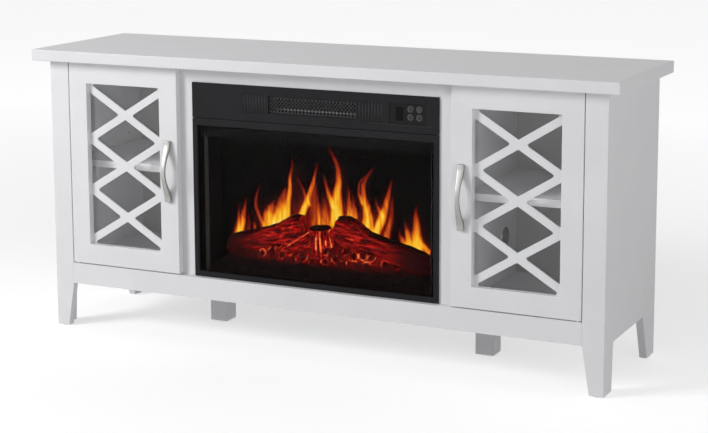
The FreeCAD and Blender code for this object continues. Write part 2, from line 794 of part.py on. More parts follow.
# Front of the insert: the window frame below, the heater front above it
window_frame = plate("insert_window_frame", "XZ_Plane", "-y_recess", "insert_thick", [
    rectangle(about("0", "insert_half"), ("z_floor", "z_frame_top")),
    rectangle(about("0", "insert_window_half"), ("z_insert_window", "z_frame_top - window_top_bar"))])
keep(window_frame)

slots = [rectangle(about(f"{side} * (slot_start + {k} * slot_pitch + slot_width / 2)", "slot_width / 2"),
                   about("z_vent", "slot_height / 2")) for name, side in SIDES for k in range(SLOT_COUNT)]
keep(plate("heater_front", "XZ_Plane", "-y_recess", "insert_thick", [
    rectangle(about("0", "insert_half"), ("z_band", "z_insert_top")),
    rectangle(about("0", "outlet_half"), about("z_vent", "outlet_height / 2")),
    rectangle(about("control_reach", "control_half"), about("z_vent", "control_rise"))] + slots))


def outlet_net():
    """A flat sheet behind the outlet with staggered diamond holes in its open part."""
    half, rise, lap = size("outlet_half"), size("outlet_height") / 2, size("mesh_lap")
    pitch, reach = size("mesh_pitch"), size("mesh_hole") / 2

    def ring(corners):
        points = [V(x, size("y_recess"), size("z_vent") + z) for x, z in corners]
        return Part.makePolygon(points + points[:1])

    corners = ((-1, -1), (1, -1), (1, 1), (-1, 1))
    rings = [ring([(x * (half + lap), z * (rise + lap)) for x, z in corners])]
    rows = int((rise - reach) / (pitch / 2))
    columns = int((half - reach) / (pitch / 2))
    for row in range(-rows, rows + 1):
        for column in range(-columns, columns + 1):
            if (row + column) % 2 == 0:
                x, z = column * pitch / 2, row * pitch / 2
                rings.append(ring([(x - reach, z), (x, z - reach), (x + reach, z), (x, z + reach)]))
    return Part.Face(rings, "Part::FaceMakerBullseye").extrude(V(0, size("mesh_thick"), 0))


mesh = doc.addObject("Part::Feature", "outlet_mesh")
mesh.Shape = outlet_net()
keep(mesh)

# Control panel, display and four push buttons
control_plate = board("control_plate", about("control_reach", "control_half + control_lap"),
                      ("y_recess", "y_control_back"), about("z_vent", "control_rise + control_lap"))
control_face = board("control_face", about("control_reach", "control_half - control_clearance"),
                     ("y_control", "y_recess"), about("z_vent", "control_rise - control_clearance"))
button_places = {
    f"{kind}_button": (f"button_reach + {way} * button_spread / 2",
                       f"z_buttons + {level} * button_drop / 2")
    for kind, way, level in (("power", -1, 1), ("flame", 1, 1), ("heat", -1, -1), ("timer", 1, -1))}
control_cuts = [rod(f"{name}_hole", "y", (x, "y_control - overrun", z),
                    "y_control_back - y_control + 2 * overrun", "button_dia + 2 * button_clearance")
                for name, (x, z) in button_places.items()]
control_cuts.append(board("display_pocket", about("display_reach", "display_width / 2 + control_clearance"),
                          ("y_control - overrun", "y_control + display_thick"),
                          about("z_vent", "display_height / 2 + control_clearance")))
keep(cut("control_panel", join("control_stock", [control_plate, control_face]), control_cuts))
keep(board("display_window", about("display_reach", "display_width / 2"),
           ("y_control", "y_control + display_thick"), about("z_vent", "display_height / 2")))
for name, (x, z) in button_places.items():
    keep(turned(name, "y", (x, "y_control - button_proud", z), [
        ("0", "0"),
        ("button_dia / 2 - button_edge", "0"),
        ("button_dia / 2", "button_edge"),
        ("button_dia / 2", "button_barrel"),
        ("button_flange_dia / 2", "button_barrel"),
        ("button_flange_dia / 2", "button_barrel + button_flange_thick"),
        ("button_stem_dia / 2", "button_barrel + button_flange_thick"),
        ("button_stem_dia / 2", "button_length"),
        ("0", "button_length"),
    ]))

# Circuit board behind the panel, on standoffs, with a switch behind each button
circuit = [board("circuit_sheet", about("control_reach", "control_half + control_lap"),
                 ("y_circuit", "y_circuit + circuit_thick"), about("z_vent", "control_rise + control_lap"))]
for way in (-1, 1):
    for level in (-1, 1):
        circuit.append(rod(f"standoff_{way}_{level}".replace("-", "minus_"), "y", (
            f"control_reach + {way} * (control_half + control_lap - standoff_inset)", "y_control_back",
            f"z_vent + {level} * (control_rise + control_lap - standoff_inset)"),
            "y_circuit - y_control_back", "standoff_dia"))
for name, (x, z) in button_places.items():
    circuit.append(board(f"{name}_switch", about(x, "switch_width / 2"),
                         ("y_circuit - switch_height", "y_circuit"), about(z, "switch_width / 2")))
keep(join("circuit_board", circuit))

# Firebox and heater housings, folded sheet boxes open at the front
firebox = board("firebox_outer", about("0", "housing_half"), ("y_fire_glass_back", "y_firebox_back"),
                ("z_floor", "z_firebox_top"))
keep(cut("firebox_housing", firebox, [
    board("firebox_inner", about("0", "housing_inner"),
          ("y_fire_glass_back - overrun", "y_firebox_back - sheet_thick"),
          ("z_fire_floor", "z_firebox_roof")),
    rod("spindle_hole", "x", ("-housing_half - overrun", "y_spindle", "z_spindle"),
        "sheet_thick + 2 * overrun", "spindle_dia + 2 * spindle_clearance"),
    rod("inlet_hole", "y",
        ("-inlet_reach", "y_firebox_back - sheet_thick - overrun", "z_floor + inlet_rise"),
        "sheet_thick + 2 * overrun", "inlet_bore_dia")]))
heater_outer = board("heater_outer", about("0", "housing_half"), ("y_recess", "y_heater_back"),
                     ("z_firebox_top", "z_housing_top"))
heater_shell = cut("heater_shell", heater_outer, [
    board("heater_inner", about("0", "housing_inner"),
          ("y_recess - overrun", "y_heater_back - sheet_thick"),
          ("z_heater_floor", "z_housing_top - sheet_thick"))])
bearing = board("wheel_bearing", ("-shaft_start", "-motor_face"), about("y_wheel", "bearing_width / 2"),
                ("z_firebox_top", "z_wheel + bearing_width / 2"))
keep(cut("heater_housing", join("heater_stock", [heater_shell, bearing]), [
    rod("bearing_bore", "x", ("-shaft_start - overrun", "y_wheel", "z_wheel"),
        "bearing_thick + 2 * overrun", "shaft_dia + 2 * spindle_clearance")]))
keep(turned("power_inlet", "y", ("-inlet_reach", "y_firebox_back", "z_floor + inlet_rise"), [
    ("inlet_bore_dia / 2", "0"),
    ("inlet_dia / 2", "0"),
    ("inlet_dia / 2", "inlet_length / 2"),
    ("inlet_tip_dia / 2", "inlet_length"),
    ("inlet_bore_dia / 2", "inlet_length"),
]))

# Front glass between the window frame and the firebox, and the flame screen at its back
keep(board("fire_glass", about("0", "insert_window_half + fire_glass_lap"),
           ("y_recess", "y_fire_glass_back"),
           ("z_insert_window - fire_glass_lap", "z_firebox_top - fire_glass_gap")))
keep(board("flame_screen", about("0", "housing_inner - screen_clearance"),
           ("y_screen", "y_screen + screen_thick"),
           ("z_fire_floor", "z_firebox_roof - screen_clearance")))


def log(name, side, start, end, radius, shares):
    """A log lofted through circles along the line between two places on the sheet."""
    run = [size(last) - size(first) for first, last in zip(start, end)]
    heading = V(side * run[0], run[1], run[2])
    rings = []
    for k, (length_share, radius_share) in enumerate(shares):
        ring = doc.addObject("Part::Circle", f"{name}_ring_{k}")
        ring.Placement = FreeCAD.Placement(V(), FreeCAD.Rotation(Z_AXIS, heading))
        bind(ring, "Radius", f"{radius_share} * {radius}")
        for axis, way, first, last in zip("xyz", (side, 1, 1), start, end):
            place = f"{first} + {length_share} * ({last} - {first})"
            bind(ring, f"Placement.Base.{axis}", f"{way} * ({place})")
        rings.append(ring)
    trunk = doc.addObject("Part::Loft", name)
    trunk.Sections = rings
    trunk.Solid = True
    trunk.Ruled = True
    return trunk


# Log set, one resin moulding: two logs that lean together, a stub between them, a bed of embers
bed = plate("ember_bed", "YZ_Plane", "-bed_half", "2 * bed_half", [[
    ("y_bed", "z_fire_floor"),
    ("y_bed + bed_depth", "z_fire_floor"),
    ("y_bed + bed_depth", "z_fire_floor + bed_height"),
    (f"y_bed + {BED_CREST_SHARE} * bed_depth", "z_fire_floor + bed_height"),
    ("y_bed", "z_fire_floor + bed_lip"),
]])
logs = [log(f"{name}_log", side, ("log_near_end", "y_log", "z_log_near"),
            ("log_far_end", "y_log", "z_log_far"), "log_radius", LOG_SECTION_SHARES) for name, side in SIDES]
stub = log("stub_log", -1, ("stub_offset", "y_stub", "z_stub_front"),
           ("stub_offset", "y_log", "z_stub_rear"), "stub_radius", STUB_SECTION_SHARES)
keep(join("log_set", [bed, stub] + logs))

# Flame light: a strip of light chips below the spindle whose fins make the light flicker
chips = [board(f"light_chip_{k}",
               about(f"light_half * {2 * k + 1 - LIGHT_COUNT} / {LIGHT_COUNT}", "light_chip / 2"),
               about("y_spindle", "light_chip / 2"),
               ("z_fire_floor + light_thick", "z_fire_floor + light_thick + light_chip_height"))
         for k in range(LIGHT_COUNT)]
strip = board("light_strip", about("0", "light_half"), about("y_spindle", "light_depth / 2"),
              ("z_fire_floor", "z_fire_floor + light_thick"))
keep(join("light_board", [strip] + chips))
fins = []
for k in range(FIN_COUNT):
    flat, upright = about("y_spindle", "fin_span / 2"), about("z_spindle", "fin_thick / 2")
    if k % 2:
        flat, upright = about("y_spindle", "fin_thick / 2"), about("z_spindle", "fin_span / 2")
    fins.append(board(f"spindle_fin_{k}", about(f"light_half * {2 * k + 1 - FIN_COUNT} / {FIN_COUNT}",
                                                "fin_length / 2"), flat, upright))
spindle = rod("spindle_rod", "x", ("-housing_half", "y_spindle", "z_spindle"),
              "housing_half + flicker_motor_face + flicker_bore_depth - spindle_end_gap", "spindle_dia")
keep(join("flicker_spindle", [spindle] + fins))
keep(turned("flicker_motor", "x", ("flicker_motor_face", "y_spindle", "z_spindle"), [
    ("spindle_dia / 2 + spindle_clearance", "0"),
    ("flicker_hub_dia / 2", "0"),
    ("flicker_hub_dia / 2", "flicker_hub_length"),
    ("flicker_motor_dia / 2", "flicker_hub_length"),
    ("flicker_motor_dia / 2", "flicker_hub_length + flicker_motor_thick"),
    ("0", "flicker_hub_length + flicker_motor_thick"),
    ("0", "flicker_bore_depth"),
    ("spindle_dia / 2 + spindle_clearance", "flicker_bore_depth"),
]))

# Blower: a cross-flow wheel between two discs, on a shaft from the bearing to the motor
wheel = doc.addObject("PartDesign::Body", "blower_wheel")
rotor = draw(wheel, "XZ_Plane", "0", [[
    ("-shaft_start", "0"),
    ("shaft_end", "0"),
    ("shaft_end", "shaft_dia / 2"),
    ("wheel_half", "shaft_dia / 2"),
    ("wheel_half", "wheel_dia / 2"),
    ("wheel_half - wheel_disc_thick", "wheel_dia / 2"),
    ("wheel_half - wheel_disc_thick", "shaft_dia / 2"),
    ("wheel_disc_thick - wheel_half", "shaft_dia / 2"),
    ("wheel_disc_thick - wheel_half", "wheel_dia / 2"),
    ("-wheel_half", "wheel_dia / 2"),
    ("-wheel_half", "shaft_dia / 2"),
    ("-shaft_start", "shaft_dia / 2"),
]])
revolution = wheel.newObject("PartDesign::Revolution", "wheel_turn")
revolution.Profile = rotor
revolution.ReferenceAxis = (rotor, ["H_Axis"])
doc.recompute()
blade_sketch = draw(wheel, "YZ_Plane", "-wheel_half", [rectangle(
    ("wheel_dia / 2 - blade_depth", "wheel_dia / 2 - blade_thick"), about("0", "blade_thick / 2"))])
blade = wheel.newObject("PartDesign::Pad", "wheel_blade")
blade.Profile = blade_sketch
bind(blade, "Length", "2 * wheel_half")
doc.recompute()
blades = wheel.newObject("PartDesign::PolarPattern", "wheel_blades")
blades.Originals = [blade]
blades.Axis = (next(item for item in wheel.Origin.OriginFeatures if item.Role == "X_Axis"), [""])
blades.Angle = 360
blades.Occurrences = BLADE_COUNT
wheel.Tip = blades
put(wheel, "z", ("0", "y_wheel", "z_wheel"))
keep(wheel)
motor = board("motor_stock", ("motor_face", "motor_face + motor_length"),
              about("y_wheel", "motor_width / 2"), ("z_heater_floor", "z_wheel + motor_width / 2"))
keep(cut("blower_motor", motor, [rod("motor_bore", "x", ("motor_face - overrun", "y_wheel", "z_wheel"),
                                     "motor_bore_depth + overrun", "shaft_dia + 2 * spindle_clearance")]))

# Heating element behind the outlet: fins between two bars, carried by end posts on the floor
element_y = ("y_element", "y_element + element_depth")
element = [board(f"element_bar_{name}", about("0", "element_half"), element_y,
                 about(f"z_vent + {way} * (element_height - element_bar) / 2", "element_bar / 2"))
           for name, way in (("low", -1), ("high", 1))]
element += [board(f"element_post_{name}", span(side, "element_half - element_bar", "element_half"),
                  element_y, ("z_heater_floor", "z_vent + element_height / 2")) for name, side in SIDES]
element += [board(f"element_fin_{k}", about(f"element_half * {2 * k + 1 - ELEMENT_FINS} / {ELEMENT_FINS}",
                                            "element_fin_thick / 2"), element_y,
                  about("z_vent", "element_height / 2")) for k in range(ELEMENT_FINS)]
keep(join("heating_element", element))

# Every object is sound before anything is written
doc.recompute()
for item in doc.Objects:
    if {"Invalid", "Error"} & set(item.State):
        raise RuntimeError(f"{item.Name} failed: {item.State}")
for piece in nodes:
    if piece.Shape.isNull() or not piece.Shape.isValid() or not piece.Shape.Solids:
        raise RuntimeError(f"{piece.Label} has no sound solid")
os.makedirs("parts", exist_ok=True)
for piece in nodes:
    piece.Shape.exportStep(f"parts/{piece.Label}.step")
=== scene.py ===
import math
import random

import bmesh
import bpy
import numpy as np
from mathutils import Matrix, Vector, noise


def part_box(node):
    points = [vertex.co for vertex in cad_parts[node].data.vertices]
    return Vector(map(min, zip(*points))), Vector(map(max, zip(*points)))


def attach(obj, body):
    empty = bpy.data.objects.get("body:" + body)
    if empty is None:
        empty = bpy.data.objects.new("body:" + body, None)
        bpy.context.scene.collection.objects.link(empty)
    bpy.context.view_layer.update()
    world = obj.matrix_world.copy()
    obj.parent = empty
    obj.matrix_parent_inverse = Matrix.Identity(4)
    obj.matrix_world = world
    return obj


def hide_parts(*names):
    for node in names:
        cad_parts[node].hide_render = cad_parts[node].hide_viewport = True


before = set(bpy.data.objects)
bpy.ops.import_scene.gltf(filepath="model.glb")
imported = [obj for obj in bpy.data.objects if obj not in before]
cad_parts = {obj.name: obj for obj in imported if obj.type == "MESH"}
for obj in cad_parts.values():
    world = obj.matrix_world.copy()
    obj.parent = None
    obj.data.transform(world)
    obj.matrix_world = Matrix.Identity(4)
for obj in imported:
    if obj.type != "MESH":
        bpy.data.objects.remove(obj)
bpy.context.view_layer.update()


# Cabinet boards: MDF cut square, edges eased with paper, sprayed satin white and
# dowelled together. The doors and their fretwork come from the same paint line.
MM = 0.001
EASED_EDGE = 0.7 * MM
FRETWORK_EDGE = 0.5 * MM
WELD_GAP = 0.01 * MM
SHARP_ANGLE = math.radians(40)
SIDES = ("left", "right")
OWN_NODES = ("Principled BSDF", "Background")


def colour(code):
    """The linear colour of an sRGB hex code."""
    parts = [int(code[k:k + 2], 16) / 255 for k in (1, 3, 5)]
    return (*[c / 12.92 if c <= 0.04045 else ((c + 0.055) / 1.055) ** 2.4 for c in parts], 1.0)


def add(material, kind, inputs=None, stops=None, **settings):
    """Adds a node, or takes the one of that name, sets it and links what comes from other nodes."""
    tree = material.node_tree
    node = tree.nodes[kind] if kind in OWN_NODES else tree.nodes.new("ShaderNode" + kind)
    for name, value in settings.items():
        setattr(node, name, value)
    for place, (at, code) in enumerate(stops or []):
        band = node.color_ramp.elements
        stop = band[place] if place < 2 else band.new(at)
        stop.position, stop.color = at, colour(code)
    for socket, value in (inputs or {}).items():
        if isinstance(value, bpy.types.Node):
            value = value.outputs[0]
        if isinstance(value, bpy.types.NodeSocket):
            tree.links.new(value, node.inputs[socket])
        else:
            node.inputs[socket].default_value = value
    return node


def material_named(name):
    """An empty material of that name, with its Principled surface."""
    material = bpy.data.materials.new(name)
    material.use_nodes = True
    return material


def dress(names, material, edge=0.0):
    """Gives CAD nodes their material and, where edge is a width, eased edges."""
    for name in names:
        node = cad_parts[name]
        node.data.materials.clear()
        node.data.materials.append(material)
        if edge:
            weld = node.modifiers.new("closed_edges", "WELD")
            weld.merge_threshold = WELD_GAP
            ease = node.modifiers.new("eased_edges", "BEVEL")
            ease.width, ease.segments, ease.profile = edge, 2, 0.5
            ease.limit_method, ease.angle_limit = "ANGLE", SHARP_ANGLE
            ease.harden_normals = True


# Satin paint: sprayed in two coats, so it is even, a little cloudy in gloss, with the
# fine orange peel of the spray (1.6 mm), drawn a little coarser than it is to show.
satin_white = material_named("satin_white_sprayed_paint")
spot = add(satin_white, "TexCoord").outputs["Object"]
cloud = add(satin_white, "TexNoise", {"Vector": spot, "Scale": 1 / (120 * MM), "Detail": 3})
peel = add(satin_white, "TexNoise", {"Vector": spot, "Scale": 1 / (1.6 * MM), "Detail": 2})
add(satin_white, "Principled BSDF", {
    "Base Color": add(satin_white, "ValToRGB", {"Fac": cloud}, [(0.3, "#e5e5e8"), (0.7, "#eaeaec")]),
    "Roughness": add(satin_white, "MapRange", {"Value": cloud, "To Min": 0.36, "To Max": 0.48}),
    "Normal": add(satin_white, "Bump", {"Height": peel, "Strength": 0.08, "Distance": 0.1 * MM}),
    "IOR": 1.48})

dress(["top_board", "front_apron", "bottom_panel", "surround_top_rail", "rear_top_rail"]
      + [f"{side}_{board}" for side in SIDES
         for board in ("side_panel", "front_leg", "rear_leg", "divider", "surround_strip", "shelf",
                       "centre_foot", "door_frame")], satin_white, EASED_EDGE)
dress([f"{side}_lattice" for side in SIDES], satin_white, FRETWORK_EDGE)


# Cable holes: bored through the dividers after they were painted, so the bare brown
# board shows inside the bore.
CABLE_HOLE_DEPTH, CABLE_HOLE_RISE = 116.5 * MM, 240.5 * MM
CABLE_HOLE_RADIUS, BARE_BOARD = 23 * MM, 0.2 * MM
RING_SIDES = 40
SIDEWAYS = Matrix.Rotation(math.pi / 2, 4, "Y")


def piece(name, bm, material, body):
    """Makes a piece of a bmesh, in place, with its material, on a body."""
    mesh = bpy.data.meshes.new(name)
    bm.to_mesh(mesh)
    bm.free()
    mesh.materials.append(material)
    thing = bpy.data.objects.new(name, mesh)
    bpy.context.scene.collection.objects.link(thing)
    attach(thing, body)
    return thing


def sweep(bm, cap, stations):
    """Draws a face, which lies at the first station and stays there, along the others."""
    first = cap
    for here, there in zip(stations, stations[1:]):
        grown = bmesh.ops.extrude_face_region(bm, geom=[cap])["geom"]
        if cap is not first:
            bmesh.ops.delete(bm, geom=[cap], context="FACES_ONLY")
        cap = next(part for part in grown if isinstance(part, bmesh.types.BMFace))
        bmesh.ops.transform(bm, matrix=there @ here.inverted(), verts=cap.verts)
    return cap


def smooth(thing):
    """Shades a piece without facets."""
    for face in thing.data.polygons:
        face.use_smooth = True


def ring(bm, place, outer, inner, thick):
    """A ring on the XY plane of a place, which grows along its Z."""
    made = bmesh.ops.create_circle(bm, cap_ends=True, segments=RING_SIDES, radius=outer,
                                   matrix=place)["verts"]
    disc = next(face for face in made[0].link_faces)
    rim = bmesh.ops.inset_region(bm, faces=[disc], thickness=outer - inner, use_boundary=True,
                                 use_even_offset=True)["faces"]
    bmesh.ops.delete(bm, geom=[disc], context="FACES")
    grown = bmesh.ops.extrude_face_region(bm, geom=rim)["geom"]
    bmesh.ops.translate(bm, vec=place.to_3x3() @ Vector((0, 0, thick)),
                        verts=[g for g in grown if isinstance(g, bmesh.types.BMVert)])


# Bare fibre board is a dull dry brown, rough where the drill tore the chips.
bare_board = material_named("bare_fibre_board")
spot = add(bare_board, "TexCoord").outputs["Object"]
chips = add(bare_board, "TexNoise", {"Vector": spot, "Scale": 1 / (1.5 * MM), "Detail": 4})
add(bare_board, "Principled BSDF", {
    "Base Color": add(bare_board, "ValToRGB", {"Fac": chips}, [(0.3, "#5a5038"), (0.7, "#75694c")]),
    "Roughness": 0.9, "Specular IOR Level": 0.1,
    "Normal": add(bare_board, "Bump", {"Height": chips, "Strength": 0.4, "Distance": 0.2 * MM})})
bm = bmesh.new()
for side in SIDES:
    low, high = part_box(f"{side}_divider")
    bore = Matrix.Translation((low.x, CABLE_HOLE_DEPTH, CABLE_HOLE_RISE)) @ SIDEWAYS
    ring(bm, bore, CABLE_HOLE_RADIUS, CABLE_HOLE_RADIUS - BARE_BOARD, high.x - low.x)
bmesh.ops.recalc_face_normals(bm, faces=bm.faces)
piece("cable_hole_bores", bm, bare_board, "cabinet")


# Back panels: 3 mm hardboard, roller painted on its smooth side and pinned into a
# rebate, so the paint is flatter than on the boards and shows fine fibres. Its mid grey,
# darker than the white boards, is painted shade for the inside of the cupboards.
roller_grey_painted_shade = material_named("roller_painted_hardboard")
spot = add(roller_grey_painted_shade, "TexCoord").outputs["Object"]
fibre = add(roller_grey_painted_shade, "TexNoise", {
    "Vector": spot, "Scale": 1 / (2.5 * MM), "Detail": 6, "Roughness": 0.7})
add(roller_grey_painted_shade, "Principled BSDF", {
    "Base Color": add(roller_grey_painted_shade, "ValToRGB", {"Fac": fibre}, [(0.25, "#bababa"), (0.75, "#c4c4c3")]),
    "Roughness": 0.62,
    "Normal": add(roller_grey_painted_shade, "Bump", {"Height": fibre, "Strength": 0.25, "Distance": 0.15 * MM})})
dress([f"{side}_back_panel" for side in SIDES], roller_grey_painted_shade)


# Small fittings: moulded nylon caps, glides and catch bodies, and zinc plated steel
# pins, pegs, strike plates and the flicker shaft, all pressed or screwed into the boards.
# Nylon is a milky white with the fine grain of its mould, duller than the paint.
white_nylon = material_named("white_moulded_nylon")
spot = add(white_nylon, "TexCoord").outputs["Object"]
grain = add(white_nylon, "TexNoise", {"Vector": spot, "Scale": 1 / (0.8 * MM), "Detail": 2})
add(white_nylon, "Principled BSDF", {
    "Base Color": add(white_nylon, "ValToRGB", {"Fac": grain}, [(0.2, "#dcdcda"), (0.8, "#e6e6e4")]),
    "Roughness": 0.5, "IOR": 1.53,
    "Normal": add(white_nylon, "Bump", {"Height": grain, "Strength": 0.15, "Distance": 0.05 * MM})})
# Zinc is a cool bright grey, clouded by its spangle.
zinc_steel = material_named("zinc_plated_steel")
spot = add(zinc_steel, "TexCoord").outputs["Object"]
spangle = add(zinc_steel, "TexNoise", {"Vector": spot, "Scale": 1 / (4 * MM), "Detail": 4})
add(zinc_steel, "Principled BSDF", {
    "Base Color": add(zinc_steel, "ValToRGB", {"Fac": spangle}, [(0.3, "#a9acb0"), (0.7, "#c6c8cb")]),
    "Roughness": add(zinc_steel, "MapRange", {"Value": spangle, "To Min": 0.22, "To Max": 0.4}),
    "Metallic": 1.0})
dress(["side_screw_caps", "foot_glides", "magnetic_catches"], white_nylon)
dress(["door_pivots", "shelf_pegs", "flicker_spindle"]
      + [f"{side}_strike_plate" for side in SIDES], zinc_steel)


# Door panes: 3 mm clear float glass laid in a rebate behind the fretwork and held by
# clear clips. Most light goes straight through; the faces are polished, not quite flat.
float_glass = material_named("clear_float_glass")
spot = add(float_glass, "TexCoord").outputs["Object"]
draw_line = add(float_glass, "TexNoise", {"Vector": spot, "Scale": 1 / (90 * MM), "Detail": 1})
shade = add(float_glass, "LightPath").outputs["Is Shadow Ray"]
add(float_glass, "Principled BSDF", {
    "Base Color": colour("#f3f3f3"), "Roughness": 0.0, "IOR": 1.38, "Transmission Weight": 1.0,
    "Alpha": add(float_glass, "Math", {0: 1.0, 1: shade}, operation="SUBTRACT"),
    "Normal": add(float_glass, "Bump", {"Height": draw_line, "Strength": 0.05, "Distance": 0.1 * MM})})
dress([f"{side}_door_glass" for side in SIDES], float_glass)
# The clips are clear with a faint blue cast, and hazy where the plastic flowed.
clip_plastic = material_named("clear_moulded_polycarbonate")
spot = add(clip_plastic, "TexCoord").outputs["Object"]
flow = add(clip_plastic, "TexNoise", {"Vector": spot, "Scale": 1 / (3 * MM), "Detail": 2})
add(clip_plastic, "Principled BSDF", {
    "Base Color": colour("#e8ecee"), "IOR": 1.58, "Transmission Weight": 0.85,
    "Roughness": add(clip_plastic, "MapRange", {"Value": flow, "To Min": 0.12, "To Max": 0.3})})
dress([f"{side}_glass_clips" for side in SIDES], clip_plastic)


# Bow handles: die cast zinc, tumbled and plated satin nickel, a flat bar that flares at
# both feet and is waisted in the middle, held by two screws from behind the stile.
# Stations of half the bow: depth from the door, rise, turn, thickness and width.
BOW = [(4.4, 68, 90, 7.2, 13.2), (4.4, 67.2, 90, 8.8, 15), (4.5, 62, 90, 9, 15),
       (4.9, 56, 88, 9.6, 14.8), (6.6, 50, 78, 10.2, 14.3), (9.6, 44, 66, 8.8, 13.6),
       (13.8, 35.5, 63, 7.6, 12.4), (18.2, 26, 66, 6.8, 11), (21.6, 15.5, 76, 6.5, 9.8),
       (22.7, 6, 86, 6.4, 9.1), (22.8, 0, 90, 6.4, 9)]
BOW_END = 2 * MM
BOW_SIDES = 28
BOW_CORNER = 0.5
BOW_ROUNDS = 2

# Satin nickel is a warm mid grey that spreads reflections wide, so the bow shows soft bands.
satin_nickel = material_named("satin_nickel_plated_zinc")
spot = add(satin_nickel, "TexCoord").outputs["Object"]
tumble = add(satin_nickel, "TexNoise", {"Vector": spot, "Scale": 1 / (45 * MM), "Detail": 2})
add(satin_nickel, "Principled BSDF", {
    "Base Color": add(satin_nickel, "ValToRGB", {"Fac": tumble}, [(0.3, "#a09f9d"), (0.7, "#a8a7a5")]),
    "Roughness": add(satin_nickel, "MapRange", {"Value": tumble, "To Min": 0.47, "To Max": 0.52}),
    "Metallic": 1.0})

for side in SIDES:
    low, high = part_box(f"{side}_handle")
    foot = Vector(((low.x + high.x) / 2, high.y, (low.z + high.z) / 2))
    way_down = BOW + [(d, -r, 180 - turn, t, w) for d, r, turn, t, w in reversed(BOW[:-1])]
    stations = [Matrix.Translation(foot + Vector((0, -d, r)) * MM)
                @ Matrix.Rotation(math.radians(90 + turn), 4, "X")
                @ Matrix.Diagonal((w * MM / 2, t * MM / 2, MM, 1)) for d, r, turn, t, w in way_down]
    bm = bmesh.new()
    bmesh.ops.create_circle(bm, cap_ends=True, segments=BOW_SIDES, radius=1)
    for v in bm.verts:
        v.co.x = math.copysign(abs(v.co.x) ** BOW_CORNER, v.co.x)
        v.co.y = math.copysign(abs(v.co.y) ** BOW_CORNER, v.co.y)
    bm.faces.ensure_lookup_table()
    bmesh.ops.transform(bm, matrix=stations[0], verts=bm.verts)
    ends = [bm.faces[0], sweep(bm, bm.faces[0], stations)]
    bmesh.ops.inset_individual(bm, faces=ends, thickness=BOW_END, use_even_offset=True)
    bmesh.ops.recalc_face_normals(bm, faces=bm.faces)
    bow = piece(f"{side}_bow_handle", bm, satin_nickel, f"{side}_door")
    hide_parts(f"{side}_handle")
    smooth(bow)
    curves = bow.modifiers.new("cast_curves", "SUBSURF")
    curves.levels = curves.render_levels = BOW_ROUNDS


# Insert metalwork: pressed sheet steel, black powder coated, the window frame and the
# heater front screwed to the firebox, which closes the fire off at the top and sides.
PRESSED_EDGE = 0.6 * MM
SCREEN_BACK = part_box("flame_screen")[1].y

# Powder coat is a soft black, finely pebbled, that shows only broad light.
powder_black = material_named("black_powder_coated_steel")
spot = add(powder_black, "TexCoord").outputs["Object"]
pebble = add(powder_black, "TexVoronoi", {"Vector": spot, "Scale": 1 / (0.9 * MM)})
drift = add(powder_black, "TexNoise", {"Vector": spot, "Scale": 1 / (70 * MM), "Detail": 3})
add(powder_black, "Principled BSDF", {
    "Base Color": add(powder_black, "ValToRGB", {"Fac": drift}, [(0.3, "#1f1f21"), (0.7, "#232325")]),
    "Roughness": add(powder_black, "MapRange", {"Value": drift, "To Min": 0.48, "To Max": 0.58}),
    "Specular IOR Level": 0.1,
    "Normal": add(powder_black, "Bump", {"Height": pebble, "Strength": 0.12, "Distance": 0.1 * MM})})
dress(["insert_window_frame", "heater_front"], powder_black, PRESSED_EDGE)
# Stove paint is dead black around the fire and a satin dark grey on the rear of the housings.
stove_black = material_named("flat_black_stove_paint")
spot = add(stove_black, "TexCoord").outputs["Object"]
soot = add(stove_black, "TexNoise", {"Vector": spot, "Scale": 1 / (14 * MM), "Detail": 4})
depth = add(stove_black, "SeparateXYZ", {"Vector": spot}).outputs["Y"]
outside = add(stove_black, "Math", {0: depth, 1: SCREEN_BACK}, operation="GREATER_THAN")
dead_black = add(stove_black, "ValToRGB", {"Fac": soot}, [(0.3, "#0b0b0c"), (0.7, "#111112")])
satin_grey = add(stove_black, "ValToRGB", {"Fac": soot}, [(0.3, "#39393b"), (0.7, "#424244")])
add(stove_black, "Principled BSDF", {
    "Base Color": add(stove_black, "MixRGB", {
        "Fac": outside, "Color1": dead_black, "Color2": satin_grey}),
    "Roughness": add(stove_black, "MapRange", {"Value": outside, "To Min": 0.85, "To Max": 0.5}),
    "Specular IOR Level": add(stove_black, "MapRange", {"Value": outside, "To Min": 0.05, "To Max": 0.3})})
dress(["firebox_housing", "heater_housing"], stove_black)


# Heat outlet: a dark sheet cut to a net of diamonds, spot welded behind the opening of
# the heater front, and beside it slots in which half-round ribs of the baffle stand.
SLOTS, SLOT_PITCH, SLOT_MIDDLE, RIB_RISE = 8, 7.2 * MM, 110.7 * MM, 20.6 * MM
RIB_HALF, RIB_SEAT, RIB_SWELL, RIB_STEPS, RIB_DEPTH = 1.55, 0.6, 0.8, 10, 3.5 * MM
RIB_TURNS = [math.pi * k / RIB_STEPS for k in range(RIB_STEPS + 1)]
RIB = [(math.cos(turn) * RIB_HALF, -RIB_SEAT - RIB_SWELL * math.sin(turn)) for turn in RIB_TURNS]
low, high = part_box("outlet_mesh")
NET_MIDDLE, NET_FIELD, NET_EDGE = (low.z + high.z) / 2, 15.4 * MM, 0.4 * MM

# Phosphated steel is a dry dark grey, a little lighter than the coat around it. On the
# pressed bead and the firebox side liners that lighter grey is a painted highlight.
grey_steel_and_painted_highlight = material_named("grey_phosphated_steel")
spot = add(grey_steel_and_painted_highlight, "TexCoord").outputs["Object"]
bloom = add(grey_steel_and_painted_highlight, "TexNoise", {"Vector": spot, "Scale": 1 / (9 * MM), "Detail": 3})
add(grey_steel_and_painted_highlight, "Principled BSDF", {
    "Base Color": add(grey_steel_and_painted_highlight, "ValToRGB", {"Fac": bloom}, [(0.3, "#313133"), (0.7, "#3a3a3c")]),
    "Roughness": 0.6, "Specular IOR Level": 0.15})
